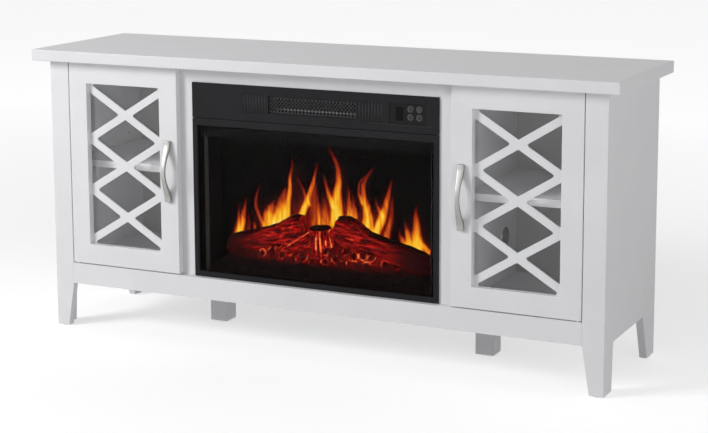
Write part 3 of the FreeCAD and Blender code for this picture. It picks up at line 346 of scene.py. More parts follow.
# The net is lighter still over its field of holes, painted light against the shade of
# its recess, and black along its border.
cut_net = material_named("cut_steel_net_with_a_black_border")
spot = add(cut_net, "TexCoord").outputs["Object"]
bloom = add(cut_net, "TexNoise", {"Vector": spot, "Scale": 1 / (9 * MM), "Detail": 3})
rise = add(cut_net, "SeparateXYZ", {"Vector": spot}).outputs["Z"]
field = add(cut_net, "Math", {0: rise, 1: NET_MIDDLE, 2: NET_FIELD}, operation="COMPARE")
add(cut_net, "Principled BSDF", {
    "Base Color": add(cut_net, "MixRGB", {
        "Fac": field, "Color1": colour("#222224"),
        "Color2": add(cut_net, "ValToRGB", {"Fac": bloom}, [(0.3, "#3a3a3c"), (0.7, "#464648")])}),
    "Roughness": 0.6, "Specular IOR Level": 0.15})
dress(["outlet_mesh"], cut_net, NET_EDGE)
vent = Vector((0, high.y - RIB_DEPTH, NET_MIDDLE))
bm = bmesh.new()
for way in (-1, 1):
    for k in range(SLOTS):
        foot = vent + Vector((way * (SLOT_MIDDLE + k * SLOT_PITCH), 0, -RIB_RISE))
        end = bm.faces.new([bm.verts.new(foot + Vector((x, y, 0)) * MM) for x, y in RIB])
        sweep(bm, end, [Matrix(), Matrix.Translation((0, 0, 2 * RIB_RISE))])
bmesh.ops.recalc_face_normals(bm, faces=bm.faces)
smooth(piece("slot_ribs", bm, grey_steel_and_painted_highlight, "cabinet"))


# Controls: a moulded black panel with a smoked display window and four round buttons,
# each with a grey printed ring and a plain sign for what it does.
BUTTONS = ("power_button", "flame_button", "heat_button", "timer_button")
RING_OUTER, RING_INNER, PRINT = 5.0 * MM, 4.1 * MM, 0.12 * MM
BEZEL_OUTER, BEZEL_INNER, BEZEL_THICK = 6.7 * MM, 5.95 * MM, 0.4 * MM
DIALS = {"power_button": 2.3 * MM, "timer_button": 2.6 * MM}
DIAL_LINE = 0.5 * MM
FORWARD = Matrix.Rotation(math.pi / 2, 4, "X")
# Strokes of each sign as outlines, in millimetres across and up from the middle of its button.
SIGNS = {
    "power_button": [[(-0.3, 0.6), (0.3, 0.6), (0.3, 3.0), (-0.3, 3.0)]],
    "flame_button": [[(0.1, 3.0), (-1.0, 1.2), (-1.7, -0.2), (-1.5, -1.5), (-0.6, -2.4),
                      (0.5, -2.4), (1.4, -1.6), (1.6, -0.4), (1.1, 0.7)]],
    "heat_button": [[(x - 0.3, -2.1), (x + 0.3, -2.1), (x + 0.3, 2.1), (x - 0.3, 2.1)]
                    for x in (-1.4, 0, 1.4)],
    "timer_button": [[(-0.25, -0.2), (0.25, -0.2), (0.25, 1.7), (-0.25, 1.7)],
                     [(0.25, -0.2), (1.5, -0.2), (1.5, 0.3), (0.25, 0.3)]]}

# Moulded ABS is near black, finely sparked and without shine.
black_abs = material_named("black_moulded_abs")
spot = add(black_abs, "TexCoord").outputs["Object"]
spark = add(black_abs, "TexNoise", {"Vector": spot, "Scale": 1 / (0.5 * MM), "Detail": 2})
add(black_abs, "Principled BSDF", {
    "Base Color": add(black_abs, "ValToRGB", {"Fac": spark}, [(0.3, "#111112"), (0.7, "#161617")]),
    "Roughness": 0.5, "IOR": 1.53, "Specular IOR Level": 0.12,
    "Normal": add(black_abs, "Bump", {"Height": spark, "Strength": 0.2, "Distance": 0.05 * MM})})
# Smoked acrylic is blacker and smoother than the panel, a small dark gloss.
smoked_acrylic = material_named("smoked_acrylic")
spot = add(smoked_acrylic, "TexCoord").outputs["Object"]
haze = add(smoked_acrylic, "TexNoise", {"Vector": spot, "Scale": 1 / (6 * MM), "Detail": 2})
add(smoked_acrylic, "Principled BSDF", {
    "Base Color": colour("#060607"), "IOR": 1.49, "Specular IOR Level": 0.08,
    "Roughness": add(smoked_acrylic, "MapRange", {"Value": haze, "To Min": 0.08, "To Max": 0.16})})
# The ink is a flat mid grey that just shows on the black.
grey_ink = material_named("grey_pad_printed_ink")
spot = add(grey_ink, "TexCoord").outputs["Object"]
screen = add(grey_ink, "TexNoise", {"Vector": spot, "Scale": 1 / (0.6 * MM), "Detail": 1})
add(grey_ink, "Principled BSDF", {
    "Base Color": add(grey_ink, "ValToRGB", {"Fac": screen}, [(0.3, "#535355"), (0.7, "#646466")]),
    "Roughness": 0.6})
dress(["control_panel", "power_inlet", "flicker_motor", "blower_wheel", *BUTTONS], black_abs)
dress(["display_window"], smoked_acrylic)
for name in BUTTONS:
    low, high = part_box(name)
    centre = Vector(((low.x + high.x) / 2, low.y, (low.z + high.z) / 2))
    bm = bmesh.new()
    ring(bm, Matrix.Translation(centre) @ FORWARD, RING_OUTER, RING_INNER, PRINT)
    if name in DIALS:
        ring(bm, Matrix.Translation(centre) @ FORWARD, DIALS[name], DIALS[name] - DIAL_LINE, PRINT)
    for outline in SIGNS[name]:
        stroke = bm.faces.new([bm.verts.new(centre + Vector((x, 0, z)) * MM) for x, z in outline])
        sweep(bm, stroke, [Matrix(), Matrix.Translation((0, -PRINT, 0))])
    bmesh.ops.recalc_face_normals(bm, faces=bm.faces)
    piece(f"{name}_print", bm, grey_ink, name)
bm = bmesh.new()
panel_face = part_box("control_panel")[0].y
for name in BUTTONS:
    low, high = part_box(name)
    ring(bm, Matrix.Translation(((low.x + high.x) / 2, panel_face, (low.z + high.z) / 2)) @ FORWARD,
         BEZEL_OUTER, BEZEL_INNER, BEZEL_THICK)
bmesh.ops.recalc_face_normals(bm, faces=bm.faces)
piece("button_bezels", bm, grey_ink, "cabinet")


# Pressed bead: a fine ridge in the sheet of the heater front, below the controls. It is
# drawn in the lighter grey steel, a painted highlight along the ridge, so it shows as a lighter line.
BEAD = [(0, 0.7), (-0.5, 0.4), (-0.7, 0), (-0.5, -0.4), (0, -0.7)]
BEAD_RISE, BEAD_START, BEAD_END = 516 * MM, 134 * MM, 275 * MM
bm = bmesh.new()
face_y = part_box("heater_front")[0].y
end = bm.faces.new([bm.verts.new((BEAD_START, face_y + y * MM, BEAD_RISE + z * MM)) for y, z in BEAD])
sweep(bm, end, [Matrix(), Matrix.Translation((BEAD_END - BEAD_START, 0, 0))])
bmesh.ops.recalc_face_normals(bm, faces=bm.faces)
piece("pressed_bead", bm, grey_steel_and_painted_highlight, "cabinet")


# Firebox liners: strips of coated sheet, spot welded inside the firebox behind the glass,
# one along each side and a valance along the top, which hide the ends of the flame screen.
LINER = [(268.6, -134), (267.6, -134), (265.8, -122), (266.8, -122)]
LINER_FOOT, LINER_TOP = 158 * MM, 472 * MM
VALANCE = [(-134, 488), (-133, 488), (-133, 459), (-134, 459)]
VALANCE_END = 276 * MM
# The side strips' lighter grey is a painted highlight where the front edges of the firebox walls catch the
# light.
bm = bmesh.new()
for way in (1, -1):
    end = bm.faces.new([bm.verts.new((way * x * MM, y * MM, LINER_FOOT)) for x, y in LINER])
    sweep(bm, end, [Matrix(), Matrix.Translation((0, 0, LINER_TOP - LINER_FOOT))])
bmesh.ops.recalc_face_normals(bm, faces=bm.faces)
piece("firebox_liners", bm, grey_steel_and_painted_highlight, "cabinet")
bm = bmesh.new()
end = bm.faces.new([bm.verts.new((-VALANCE_END, y * MM, z * MM)) for y, z in VALANCE])
sweep(bm, end, [Matrix(), Matrix.Translation((2 * VALANCE_END, 0, 0))])
bmesh.ops.recalc_face_normals(bm, faces=bm.faces)
piece("firebox_valance", bm, stove_black, "cabinet")


# Fire glass: 4 mm toughened glass in the window frame. Its coating all but stops
# reflections, so the fire behind stays black where it is dark.
fire_pane = material_named("coated_toughened_glass")
spot = add(fire_pane, "TexCoord").outputs["Object"]
coat = add(fire_pane, "TexNoise", {"Vector": spot, "Scale": 1 / (150 * MM), "Detail": 1})
add(fire_pane, "Principled BSDF", {
    "Base Color": colour("#f4f4f4"), "IOR": 1.08, "Transmission Weight": 1.0,
    "Roughness": add(fire_pane, "MapRange", {"Value": coat, "To Min": 0.0, "To Max": 0.02})})
dress(["fire_glass"], fire_pane)


# Flame screen: a satin plastic sheet, near black, on which the flicker shaft throws the
# light of the flames. Each tongue below is a line of x, z, half width and heat, from its
# foot, in millimetres.
FLAMES = [
    [(-232, 235, 10, 0.95), (-228, 252, 9, 0.9), (-224, 274, 6, 0.72), (-219, 293, 3.5, 0.5),
     (-217, 313, 1, 0.3)],
    [(-240, 236, 4, 0.6), (-237, 258, 3.5, 0.55), (-236, 277, 2.5, 0.45), (-237, 293, 1, 0.3)],
    [(-210, 239, 5, 0.32), (-210, 257, 4, 0.3), (-211, 275, 2, 0.2)],
    [(-196, 245, 2.5, 0.5), (-197, 253, 2, 0.45), (-198, 258, 1, 0.3)],
    [(-175, 253, 4, 0.5), (-185, 274, 4, 0.5), (-192, 295, 3.5, 0.45), (-191, 318, 3, 0.4),
     (-186, 336, 2, 0.3), (-179, 348, 1, 0.2)],
    [(-154, 254, 25, 1), (-158, 273, 20, 0.95), (-155, 291, 12, 0.72), (-149, 308, 2, 0.4)],
    [(-133, 260, 21, 1), (-130, 290, 17, 0.86), (-126, 314, 10, 0.66), (-119, 336, 3, 0.45)],
    [(-117, 269, 9, 1), (-113, 299, 8, 1), (-109, 328, 6, 0.9), (-106, 357, 4.5, 0.75),
     (-102, 383, 3, 0.5), (-100, 406, 1, 0.3)],
    [(-86, 290, 16, 0.2), (-86, 340, 14, 0.2), (-90, 380, 8, 0.14)],
    [(-77, 284, 9, 0.95), (-68, 306, 8, 0.9), (-59, 332, 7, 0.85), (-50, 355, 5, 0.7),
     (-44, 378, 3.5, 0.5), (-39, 402, 1, 0.25)],
    [(-65, 321, 3, 0.45), (-73, 335, 2.5, 0.4), (-78, 349, 2, 0.35), (-86, 366, 1, 0.2)],
    [(-49, 264, 14, 0.46), (-47, 290, 14, 0.48), (-46, 319, 12, 0.42), (-47, 351, 8, 0.32),
     (-46, 366, 4, 0.2)],
    [(-35, 266, 4, 0.9), (-36, 287, 3.5, 0.85), (-37, 312, 1.5, 0.4)],
    [(-22, 262, 16, 0.6), (-22, 285, 14, 0.54), (-24, 308, 9, 0.4), (-27, 328, 4, 0.24)],
    [(8, 289, 18, 1), (8, 316, 15, 1), (9, 341, 11, 0.95), (13, 367, 8.5, 0.85), (12, 388, 7, 0.7),
     (4, 409, 5, 0.55), (-5, 426, 3.5, 0.4), (-14, 445, 1, 0.2)],
    [(-6, 322, 7, 0.8), (-13, 340, 5, 0.65), (-19, 357, 3.5, 0.5), (-23, 376, 1, 0.3)],
    [(-6, 265, 5, 0.6), (-5, 279, 4, 0.6), (-6, 293, 3, 0.6)],
    [(43, 284, 13, 0.65), (45, 305, 10, 0.58), (48, 323, 6, 0.42), (47, 339, 1.5, 0.3)],
    [(36, 286, 6, 0.6), (37, 319, 5, 0.5), (36, 344, 3, 0.4), (33, 361, 1, 0.2)],
    [(53, 281, 4, 0.55), (54, 295, 3, 0.5), (53, 309, 1, 0.3)],
    [(80, 268, 18, 0.95), (82, 291, 15, 0.95), (78, 315, 11, 0.85), (72, 336, 7, 0.75), (71, 357, 5, 0.6),
     (77, 375, 4, 0.5), (86, 390, 3, 0.4), (94, 400, 1, 0.25)],
    [(64, 335, 3, 0.5), (60, 349, 2.5, 0.45), (63, 367, 2, 0.4), (75, 382, 1, 0.3)],
    [(103, 266, 12, 1), (113, 290, 11, 0.95), (122, 315, 8, 0.85), (128, 341, 6, 0.7), (134, 362, 4, 0.5),
     (139, 380, 1, 0.3)],
    [(128, 259, 9, 0.55), (134, 285, 8, 0.5), (138, 313, 6, 0.42), (140, 338, 3, 0.3)],
    [(109, 311, 4, 0.5), (103, 324, 3, 0.4), (100, 338, 1, 0.3)],
    [(197, 243, 15, 0.95), (197, 269, 12, 0.9), (195, 294, 8, 0.7), (195, 311, 4, 0.5), (195, 329, 1, 0.3)],
    [(178, 246, 10, 0.85), (176, 264, 7, 0.75), (172, 277, 4, 0.5), (168, 293, 1, 0.3)],
    [(163, 250, 5, 0.6), (158, 260, 3, 0.5), (155, 271, 1, 0.3)],
    [(214, 241, 7, 0.7), (208, 247, 5, 0.6), (204, 256, 3, 0.5)],
]
FLAME_GRID = 1.8 * MM
FLAME_FOOT = 14
FRINGE, FRINGE_REACH = 0.3, 2.2
FLAME_SPREAD = 1.4
FLAME_COVER = 0.94
TIP_COOLING = 0.5
SWAY_SEED = 7
SWAY_WIDTH, SWAY_HEIGHT = 22, 34
SWAY_ACROSS, SWAY_UP = 2.6, 3.0


def tongue_heat(x, z, tongue):
    """Heat of one tongue at points x, z, in millimetres: full on its line, a weak fringe around it."""
    (x0, z0, w0, h0), (x1, z1, _, _) = tongue[:2]
    drop = FLAME_FOOT / math.hypot(x1 - x0, z1 - z0)
    line = [(x0 - (x1 - x0) * drop, z0 - (z1 - z0) * drop, w0, h0), *tongue]
    heat = np.zeros_like(x)
    cool = (1 - TIP_COOLING) ** (1 / len(tongue))
    line = [(xa, za, wa, ha * cool ** k) for k, (xa, za, wa, ha) in enumerate(line)]
    for (xa, za, wa, ha), (xb, zb, wb, hb) in zip(line, line[1:]):
        run, rise = xb - xa, zb - za
        share = np.clip(((x - xa) * run + (z - za) * rise) / (run * run + rise * rise), 0, 1)
        width = wa + share * (wb - wa) + FLAME_SPREAD
        away = np.hypot(x - xa - share * run, z - za - share * rise) / width
        core = np.clip(1 - away ** 2, 0, 1)
        fringe = FRINGE * np.clip(1 - away / FRINGE_REACH, 0, 1)
        heat = np.maximum(heat, (ha + share * (hb - ha)) * np.maximum(core, fringe))
    return heat


low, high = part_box("flame_screen")
half = (high - low) / 2
bm = bmesh.new()
layer = bm.verts.layers.float.new("blaze")
upright = Matrix.Translation(((low.x + high.x) / 2, low.y, (low.z + high.z) / 2)) @ FORWARD
bmesh.ops.create_grid(bm, x_segments=round(2 * half.x / FLAME_GRID), size=1,
                      y_segments=round(2 * half.z / FLAME_GRID),
                      matrix=upright @ Matrix.Diagonal((half.x, half.z, 1, 1)))
spots = np.array([v.co for v in bm.verts]) / MM
# Noise vectors start from the time of day unless they are given a seed.
noise.seed_set(SWAY_SEED)
sway = np.array([noise.noise_vector(Vector((x / SWAY_WIDTH, 0, z / SWAY_HEIGHT))) for x, _, z in spots])
x, z = spots[:, 0] + SWAY_ACROSS * sway[:, 0], spots[:, 2] + SWAY_UP * sway[:, 2]
cold = np.ones(len(spots))
for tongue in FLAMES:
    cold *= 1 - FLAME_COVER * tongue_heat(x, z, tongue)
for v, value in zip(bm.verts, 1 - cold):
    v[layer] = value
rim = bmesh.ops.extrude_edge_only(bm, edges=[e for e in bm.edges if e.is_boundary])["geom"]
for v in (g for g in rim if isinstance(g, bmesh.types.BMVert)):
    v.co.y = high.y
    v[layer] = 0.0
bmesh.ops.holes_fill(bm, edges=[e for e in bm.edges if e.is_boundary], sides=0)
bmesh.ops.recalc_face_normals(bm, faces=bm.faces)
# The light goes from dark red at the fringe through orange to pale yellow, in upright strands.
flame_light = material_named("satin_screen_with_flame_light")
spot = add(flame_light, "TexCoord").outputs["Object"]
drawn_up = add(flame_light, "Mapping", {"Vector": spot, "Scale": (1 / (7 * MM), 0, 1 / (42 * MM))})
strand = add(flame_light, "TexNoise", {"Vector": drawn_up, "Scale": 1, "Detail": 3, "Distortion": 0.6})
strands = add(flame_light, "MapRange", {
    "Value": strand, "From Min": 0.3, "From Max": 0.7, "To Min": 0.72, "To Max": 1.2})
heat = add(flame_light, "Attribute", attribute_name="blaze").outputs["Fac"]
lit = add(flame_light, "Math", {0: heat, 1: strands}, operation="MULTIPLY")
add(flame_light, "Principled BSDF", {
    "Base Color": colour("#080707"), "Roughness": 0.7, "Specular IOR Level": 0.0, "Emission Strength": 1.0,
    "Emission Color": add(flame_light, "ValToRGB", {"Fac": lit}, [
        (0.0, "#000000"), (1.0, "#fff2b8"), (0.1, "#220605"), (0.22, "#6c160b"), (0.36, "#b23a10"),
        (0.5, "#e87616"), (0.66, "#fdb418"), (0.86, "#ffd848")])})
screen_sheet = piece("flame_light_screen", bm, flame_light, "cabinet")
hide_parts("flame_screen")


# Logs: two long logs, a stump and its root, cast in translucent resin with a moulded bark,
# washed with black and lit from inside, so the bark glows deep red, brighter on its ridges;
# upward faces glow less, as painted shade where the lamps below don't reach.
# Sizes of the logs, the ember bed and the coals are in millimetres.
LOG_SIDES, LOG_STEPS = 96, 128
END_RINGS = (1.5, 7, 7)
RIDGES_AROUND, RIDGE_LENGTH, RIDGE_HEIGHT = 5, 34, 2.0
VEINS_AROUND, VEIN_LENGTH, VEIN_WIDTH = 4, 52, 0.09
CRACK_PATCH, CRACK_DEPTH = 24, 2.2
LAMPS_FULL, LAMPS_END = 140, 235
lit_resin = material_named("charred_translucent_resin")


def between(low, high, value):
    """How far a value has come from low to high, from 0 to 1, eased at both ends."""
    share = min(1.0, max(0.0, (value - low) / (high - low)))
    return share * share * (3 - 2 * share)


def along(values, share):
    """The value at a share of the way along a row of evenly spaced values."""
    place = share * (len(values) - 1)
    n = min(int(place), len(values) - 2)
    return values[n] + (place - n) * (values[n + 1] - values[n])


def log_piece(name, start, end, radius, shares, seed, cracks, lifts=(0, 0), stripes=(), stripe_end=1.0):
    """A log from start to end, in millimetres, of that radius times the shares along it, lifted by the lifts.
    Stripes are the places of long splits, in degrees around the log from its front."""
    a, b = Vector(start) * MM, Vector(end) * MM
    turn = (b - a).to_track_quat("Z", "Y").to_matrix().to_4x4()
    front = Vector((0, -1, 0))
    beside = (b - a).normalized().cross(front)
    stations = []
    for k in range(LOG_STEPS + 1):
        share = k / LOG_STEPS
        r = radius * MM * along(shares, share)
        middle = a.lerp(b, share) + Vector((0, 0, along(lifts, share))) * MM
        stations.append(Matrix.Translation(middle) @ turn @ Matrix.Diagonal((r, r, MM, 1)))
    bm = bmesh.new()
    glow = bm.verts.layers.float.new("glow")
    open_split = bm.verts.layers.float.new("split")
    bmesh.ops.create_circle(bm, cap_ends=True, segments=LOG_SIDES, radius=1)
    bm.faces.ensure_lookup_table()
    bmesh.ops.transform(bm, matrix=stations[0], verts=bm.verts)
    ends = [bm.faces[0], sweep(bm, bm.faces[0], stations)]
    for thickness in END_RINGS:
        bmesh.ops.inset_individual(bm, faces=ends, thickness=thickness * MM, use_even_offset=True)
    bmesh.ops.recalc_face_normals(bm, faces=bm.faces)
    bm.normal_update()
    back = turn.inverted()
    for v in bm.verts:
        flat = (back @ (v.co - a)) / MM
        around = Vector((flat.x, flat.y, 0)) / radius
        ridge = noise.fractal(Vector((around.x * RIDGES_AROUND, around.y * RIDGES_AROUND,
                                      flat.z / RIDGE_LENGTH + seed)), 0.8, 2.2, 4)
        vein = abs(noise.noise(Vector((around.x * VEINS_AROUND, around.y * VEINS_AROUND,
                                       flat.z / VEIN_LENGTH + 2 * seed))))
        crack = between(VEIN_WIDTH, 0.0, vein) * between(-0.1, 0.25, noise.noise(v.co / MM / CRACK_PATCH))
        cut = between(0.6, 0.9, abs((back @ (v.co + v.normal) - back @ v.co).z))
        share = flat.z * MM / (b - a).length
        middle = a.lerp(b, share) + Vector((0, 0, along(lifts, min(1, max(0, share))))) * MM
        facing = math.degrees(math.atan2((v.co - middle).dot(beside), (v.co - middle).dot(front)))
        split = max((between(7, 2, abs(facing - at)) for at in stripes), default=0.0)
        split *= between(0.5, 0.1, cut)
        # Upward faces lose glow: painted shade, as the lamps shine from below.
        shaded_top = between(0.66, 0.97, v.normal.z)
        v.co += v.normal * (RIDGE_HEIGHT * ridge - CRACK_DEPTH * crack) * MM
        lamps = 1 - 0.85 * between(LAMPS_FULL, LAMPS_END, abs(v.co.x / MM))
        bark = (0.36 + 0.34 * ridge) * (1 - shaded_top)
        v[glow] = max(0.0, min(1.0, lamps * (bark + cracks * crack * (1 - 0.7 * shaded_top))))
        striped = share < stripe_end if stripe_end > 0.5 else share > stripe_end
        fading = between(0.04, 0.12, abs(share - stripe_end))
        v[open_split] = split * between(-0.3, 0.1, ridge) * fading * striped
    thing = piece(name, bm, lit_resin, "cabinet")
    smooth(thing)
    return thing


logs = [
    log_piece("left_log", (-48, -86, 258), (-232, -86, 209), 27,
              (1.0, 1.16, 1.14, 1.05, 1.0, 1.0, 1.0, 0.99, 0.98, 0.98, 0.97, 0.95, 0.68), 3.1, 0.3,
              (9, 9, 8, 4, 1, 0, 0, 0, 0, 0, 0, 0, 0)),
    log_piece("right_log", (30, -86, 262), (248, -86, 208), 27,
              (0.95, 1.2, 1.18, 1.08, 1.0, 0.98, 0.97, 0.98, 1.0, 1.02, 1.0, 0.9, 0.6), 8.7, 0.3,
              (12, 12, 10, 5, 1, 0, 0, 0, 0, 0, 0, 0, 0)),
    log_piece("stump", (-8, -88, 190), (-8, -95, 271), 25.5, (0.7, 1.12, 1.1, 1.0, 0.97), 14.3, 0.35,
              stripes=(5, 26, 52, 80), stripe_end=0.36),
    log_piece("root", (-20, -98, 258), (-90, -106, 208), 15, (0.9, 1.0, 1.05, 0.8), 21.9, 0.5, stripes=(34,))]
spot = add(lit_resin, "TexCoord").outputs["Object"]
drawn_along = add(lit_resin, "Mapping", {
    "Vector": spot, "Scale": (1 / (26 * MM), 1 / (7 * MM), 1 / (5 * MM))})
streak = add(lit_resin, "TexNoise", {"Vector": drawn_along, "Scale": 1, "Detail": 5, "Roughness": 0.65})
streaks = add(lit_resin, "MapRange", {
    "Value": streak, "From Min": 0.34, "From Max": 0.68, "To Min": 0.45, "To Max": 1.3})
glow = add(lit_resin, "Attribute", attribute_name="glow").outputs["Fac"]
bark = add(lit_resin, "Math", {0: glow, 1: streaks}, operation="MULTIPLY")
split = add(lit_resin, "Attribute", attribute_name="split").outputs["Fac"]
shine = add(lit_resin, "Math", {0: split, 1: 0.56, 2: bark}, operation="MULTIPLY_ADD")
add(lit_resin, "Principled BSDF", {
    "Base Color": add(lit_resin, "ValToRGB", {"Fac": streak}, [(0.35, "#070202"), (0.7, "#100504")]),
    "Roughness": 0.6, "Specular IOR Level": 0.03, "Emission Strength": 1.0,
    "Emission Color": add(lit_resin, "ValToRGB", {"Fac": shine}, [
        (0.0, "#040101"), (1.0, "#ffa858"), (0.2, "#3c0303"), (0.42, "#910a08"), (0.6, "#c61a10"),
        (0.8, "#ea4c1c")])})


# Ember bed: a moulded heap of resin ash, red where the lamps shine through between the
# dark coals that are strewn over it, and black at the foot.
BED_FRONT, BED_BACK, BED_HALF = -134, -46, 266
BED_COLUMNS, BED_ROWS = 440, 80
HEAP_FOOT, HEAP_ENDS, HEAP_SWELL, HEAP_LUMPS = 158, 192, 38, 3.0
RIM_WANDER, RIM_WAVE, RIM_SIZE = 5, 11, 1.15
COAL_TRIES, COAL_SPACING = 3000, 20
COAL_ACROSS, COAL_DEPTHS, COAL_SIZES = (-240, 240), (-131, -106), (6.5, 10)
coal_draw = random.Random(7)


def heap(x, y):
    """Height of the ember heap at a place, in millimetres."""
    crest = HEAP_ENDS + HEAP_SWELL * between(240, 90, abs(x))
    ends = between(BED_HALF, BED_HALF - 40, abs(x))
    rise = (crest - HEAP_FOOT) * between(BED_FRONT - 4, -104, y) * (0.45 + 0.55 * ends)
    return HEAP_FOOT + rise + HEAP_LUMPS * noise.noise(Vector((x / 26, y / 20, 0)))


def hotness(x, z):
    """Share of the lamps' light that comes through the heap at a place of its front."""
    patch = 0.82 + 0.5 * noise.noise(Vector((x / 30, 0, z / 16)))
    return max(0.0, min(1.0, patch)) * between(187, 209, z) * (0.2 + 0.8 * between(230, 110, abs(x)))


coals = []
for k in range(COAL_TRIES):
    px, py = coal_draw.uniform(*COAL_ACROSS), coal_draw.uniform(*COAL_DEPTHS)
    place = Vector((px, py, heap(px, py)))
    if all((place - other).length > COAL_SPACING for other, _ in coals):
        coals.append((place, coal_draw.uniform(*COAL_SIZES)))
coal_places = np.array([place for place, _ in coals])
coal_radii = np.array([r for _, r in coals])
bm = bmesh.new()
glow = bm.verts.layers.float.new("glow")
rim = bm.verts.layers.float.new("rim")
middle = Vector((0, (BED_FRONT + BED_BACK) / 2, 0)) * MM
halves = (BED_HALF * MM, (BED_BACK - BED_FRONT) / 2 * MM, 1, 1)
bmesh.ops.create_grid(bm, x_segments=BED_COLUMNS, y_segments=BED_ROWS, size=1,
                      matrix=Matrix.Translation(middle) @ Matrix.Diagonal(halves))
for v in bm.verts:
    px, py = v.co.x / MM, v.co.y / MM
    v.co.z = heap(px, py) * MM
    v[glow] = hotness(px, v.co.z / MM)
    bent = v.co / MM + RIM_WANDER * noise.noise_vector(v.co / MM / RIM_WAVE)
    off = np.abs(np.linalg.norm(coal_places - np.array(bent), axis=1) - RIM_SIZE * coal_radii).min()
    v[rim] = v[glow] * between(1.7, 0.4, off) * between(-0.25, 0.1, noise.noise(v.co / MM / 13))
skirt = bmesh.ops.extrude_edge_only(bm, edges=[e for e in bm.edges if e.is_boundary])["geom"]
bed_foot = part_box("log_set")[0].z
for v in (g for g in skirt if isinstance(g, bmesh.types.BMVert)):
    v.co.z = bed_foot
    v[glow] = v[rim] = 0.0
bmesh.ops.holes_fill(bm, edges=[e for e in bm.edges if e.is_boundary], sides=0)
bmesh.ops.recalc_face_normals(bm, faces=bm.faces)
# The ash glows red in clouds, brighter in fine loops and along the rims of the coals.
ember = material_named("glowing_resin_ash")
spot = add(ember, "TexCoord").outputs["Object"]
ash = add(ember, "TexNoise", {"Vector": spot, "Scale": 1 / (12 * MM), "Detail": 4})
glow = add(ember, "Attribute", attribute_name="glow").outputs["Fac"]
swirl = add(ember, "TexNoise", {"Vector": spot, "Scale": 1 / (19 * MM), "Detail": 1})
loop = add(ember, "Math", {0: swirl, 1: 0.5, 2: 0.016}, operation="COMPARE")
loops = add(ember, "MapRange", {"Value": loop, "To Min": 0.0, "To Max": 0.25})
clouds = add(ember, "MapRange", {
    "Value": ash, "From Min": 0.3, "From Max": 0.7, "To Min": 0.14, "To Max": 0.42})
body = add(ember, "Math", {0: clouds, 1: loops}, operation="ADD")
edge = add(ember, "Attribute", attribute_name="rim").outputs["Fac"]
rims = add(ember, "Math", {0: edge, 1: 0.95}, operation="MULTIPLY")
hot = add(ember, "Math", {0: glow, 1: body, 2: rims}, operation="MULTIPLY_ADD")
add(ember, "Principled BSDF", {
    "Base Color": add(ember, "ValToRGB", {"Fac": ash}, [(0.3, "#060303"), (0.7, "#0e0605")]),
    "Roughness": 0.8, "Specular IOR Level": 0.02, "Emission Strength": 1.0,
    "Emission Color": add(ember, "ValToRGB", {"Fac": hot}, [
        (0.0, "#030101"), (1.0, "#ff8240"), (0.25, "#4a0504"), (0.5, "#980f0a"), (0.75, "#de3c1a")])})
smooth(piece("ember_bed", bm, ember, "cabinet"))


# Loose coals: flat lumps cast in the same resin and glued down on the heap. The lamps reach
# them from below, so their feet are redder than their tops.
COAL_SHAPE, COAL_LUMPS, COAL_WAVE, COAL_ROUNDS = (1, 0.85, 0.6), 0.55, 6, 2
bm = bmesh.new()
glow = bm.verts.layers.float.new("glow")
for place, r in coals:
    outward = Vector((heap(place.x - 2, place.y) - heap(place.x + 2, place.y),
                      heap(place.x, place.y - 2) - heap(place.x, place.y + 2), 4)).normalized()
    lean = outward.to_track_quat("Z", "Y").to_matrix().to_4x4()
    turn = Matrix.Rotation(coal_draw.uniform(0, math.pi), 4, outward) @ lean
    size = Matrix.Diagonal((*[share * r * MM for share in COAL_SHAPE], 1))
    lump = bmesh.ops.create_icosphere(bm, subdivisions=COAL_ROUNDS, radius=1,
                                      matrix=Matrix.Translation(place * MM) @ turn @ size)["verts"]
    for v in lump:
        v.co += (v.co - place * MM) * COAL_LUMPS * noise.noise(v.co / MM / COAL_WAVE)
        above = (v.co / MM - place).dot(outward)
        v.co.y = max(v.co.y, BED_FRONT * MM)
        v[glow] = hotness(place.x, place.z) * max(0.5, 0.7 - above / 8)
piece("loose_coals", bm, ember, "cabinet")
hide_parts("log_set")


# Works inside: glass fibre circuit boards, laminated motors and a finned heating element,
# screwed into the housings behind the fire.
# Laminate is a half glossy green with lighter lines where the tracks run.
laminate = material_named("green_glass_fibre_laminate")
spot = add(laminate, "TexCoord").outputs["Object"]
track = add(laminate, "TexBrick", {
    "Vector": spot, "Scale": 1 / (9 * MM), "Color1": colour("#1c5a35"), "Color2": colour("#1f6139"),
    "Mortar": colour("#2f7d4c"), "Mortar Size": 0.06})
add(laminate, "Principled BSDF", {"Base Color": track, "Roughness": 0.4, "IOR": 1.55})
dress(["light_board", "circuit_board"], laminate)
# Laminations are bare grey iron, striped by the edges of the sheets.
motor_iron = material_named("stacked_motor_laminations")
spot = add(motor_iron, "TexCoord").outputs["Object"]
sheets = add(motor_iron, "TexWave", {"Vector": spot, "Scale": 1 / (3.2 * MM)}, bands_direction="X")
add(motor_iron, "Principled BSDF", {
    "Base Color": add(motor_iron, "ValToRGB", {"Fac": sheets}, [(0.2, "#5e6063"), (0.6, "#8b8d90")]),
    "Metallic": 1.0, "Roughness": 0.45})
dress(["blower_motor"], motor_iron)
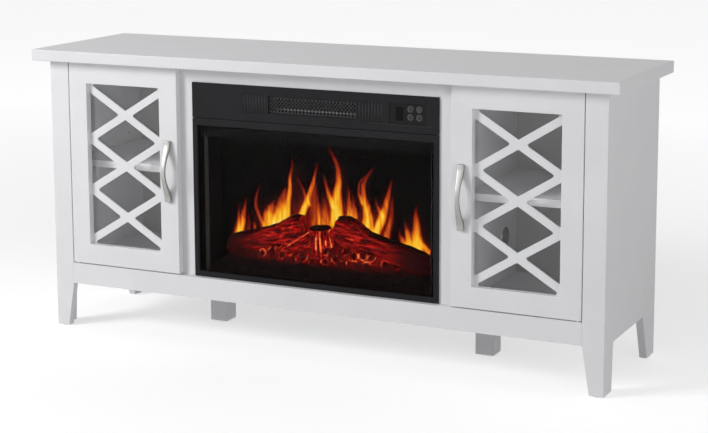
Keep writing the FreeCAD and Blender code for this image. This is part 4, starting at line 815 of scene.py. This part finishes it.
# The fins are nearly black with scale, and the ceramic rail shows as a pale line.
RAIL_DROP, RAIL_HALF = 26.6 * MM, 1.6 * MM
RAIL_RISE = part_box("heating_element")[1].z - RAIL_DROP
fin_alloy = material_named("scaled_fins_on_a_ceramic_rail")
spot = add(fin_alloy, "TexCoord").outputs["Object"]
scale = add(fin_alloy, "TexNoise", {"Vector": spot, "Scale": 1 / (5 * MM), "Detail": 3})
height = add(fin_alloy, "SeparateXYZ", {"Vector": spot}).outputs["Z"]
rail = add(fin_alloy, "Math", {0: height, 1: RAIL_RISE, 2: RAIL_HALF}, operation="COMPARE")
scaled = add(fin_alloy, "ValToRGB", {"Fac": scale}, [(0.3, "#1d1c1b"), (0.7, "#2c2a28")])
add(fin_alloy, "Principled BSDF", {
    "Base Color": add(fin_alloy, "MixRGB", {"Fac": rail, "Color1": scaled, "Color2": colour("#cbcbc9")}),
    "Metallic": add(fin_alloy, "Math", {0: 1.0, 1: rail}, operation="SUBTRACT"), "Roughness": 0.42})
dress(["heating_element"], fin_alloy)


# Studio: a plain pale floor in a soft bright room, brightest low behind, a large lamp at
# the front left, a weak one at the right, and the camera, to the right and a little above.
FLOOR_HALF = 30
LIFT_MIDDLE, LIFT_NEAR, LIFT_FAR = (-0.9, 0.0, 0), 0.8, 3.4
ROOM_LIGHT, REAR_WALL_LIGHT = 0.23, 0.9
LAMPS = (("soft_box", (-3.0, -3.0, 2.25), 1.7, 128), ("fill_board", (3.6, -2.3, 0.8), 2.2, 35))
LAMP_HEIGHT, LAMP_AIM = 1.5, Vector((0, 0, 0.35))
bm = bmesh.new()
bmesh.ops.create_grid(bm, x_segments=1, y_segments=1, size=FLOOR_HALF)
mesh = bpy.data.meshes.new("floor")
bm.to_mesh(mesh)
bm.free()
floor = bpy.data.objects.new("floor", mesh)
bpy.context.scene.collection.objects.link(floor)


def shown(surface):
    """1 on rays that show the room to the camera, straight, in a polished face or through a pane, else 0."""
    path = add(surface, "LightPath")
    through = add(surface, "Math", {0: path.outputs["Is Transmission Ray"], 1: path.outputs["Diffuse Depth"]},
                  operation="SUBTRACT")
    seen = add(surface, "Math", {0: path.outputs["Is Camera Ray"], 1: path.outputs["Is Glossy Ray"]},
               operation="MAXIMUM")
    return add(surface, "Math", {0: seen, 1: through}, operation="MAXIMUM")


# The floor is an even pale grey that lifts to white away from the cabinet.
pale_floor = material_named("pale_studio_floor")
spot = add(pale_floor, "TexCoord").outputs["Object"]
mottle = add(pale_floor, "TexNoise", {"Vector": spot, "Scale": 2.0, "Detail": 2})
away = add(pale_floor, "VectorMath", {0: spot, 1: LIFT_MIDDLE}, operation="DISTANCE").outputs["Value"]
lift = add(pale_floor, "MapRange", {
    "Value": away, "From Min": LIFT_NEAR, "From Max": LIFT_FAR, "To Min": 0.51, "To Max": 0.735})
add(pale_floor, "Principled BSDF", {
    "Base Color": add(pale_floor, "ValToRGB", {"Fac": mottle}, [(0.3, "#dedede"), (0.7, "#e0e0e0")]),
    "Roughness": 0.9, "Specular IOR Level": 0.0, "Emission Color": colour("#ffffff"),
    "Emission Strength": add(pale_floor, "Math", {0: shown(pale_floor), 1: lift}, operation="MULTIPLY")})
floor.data.materials.append(pale_floor)

world = bpy.data.worlds.new("bright_room")
bpy.context.scene.world = world
world.use_nodes = True
way = add(world, "SeparateXYZ", {"Vector": add(world, "TexCoord").outputs["Generated"]})
low_behind = add(world, "Math", {0: way.outputs["Y"], 1: way.outputs["Z"]}, operation="SUBTRACT")
room = add(world, "MapRange", {"Value": low_behind, "From Min": 0.1, "From Max": 1.0,
                               "To Min": ROOM_LIGHT, "To Max": REAR_WALL_LIGHT})
add(world, "Background", {
    "Color": (1, 1, 1, 1),
    "Strength": add(world, "MapRange", {"Value": shown(world), "To Min": room, "To Max": 1.0})})

for name, place, width, power in LAMPS:
    lamp = bpy.data.lights.new(name, "AREA")
    lamp.shape, lamp.size, lamp.size_y, lamp.energy = "RECTANGLE", width, LAMP_HEIGHT, power
    light = bpy.data.objects.new(name, lamp)
    light.location = place
    light.rotation_euler = (LAMP_AIM - light.location).to_track_quat("-Z", "Y").to_euler()
    bpy.context.scene.collection.objects.link(light)

CAMERA_PLACE = Vector((1.6568, -3.3667, 1.0785))
CAMERA_YAW, CAMERA_PITCH, CAMERA_ROLL = 0.4506, 0.1587, -0.0039
CAMERA_REACH = 200
IMAGE_WIDTH, FOCAL_PIXELS, RAISED_PIXELS = 708, 1749.4, 90
eye = bpy.data.cameras.new("photograph_camera")
eye.lens = FOCAL_PIXELS / IMAGE_WIDTH * eye.sensor_width
eye.shift_y = -RAISED_PIXELS / IMAGE_WIDTH
eye.clip_end = CAMERA_REACH
camera = bpy.data.objects.new("photograph_camera", eye)
camera.location = CAMERA_PLACE
camera.rotation_euler = (Matrix.Rotation(CAMERA_YAW, 3, "Z")
                         @ Matrix.Rotation(math.pi / 2 - CAMERA_PITCH, 3, "X")
                         @ Matrix.Rotation(CAMERA_ROLL, 3, "Z")).to_euler()
bpy.context.scene.collection.objects.link(camera)
bpy.context.scene.camera = camera
bpy.context.scene.view_settings.view_transform = "Standard"
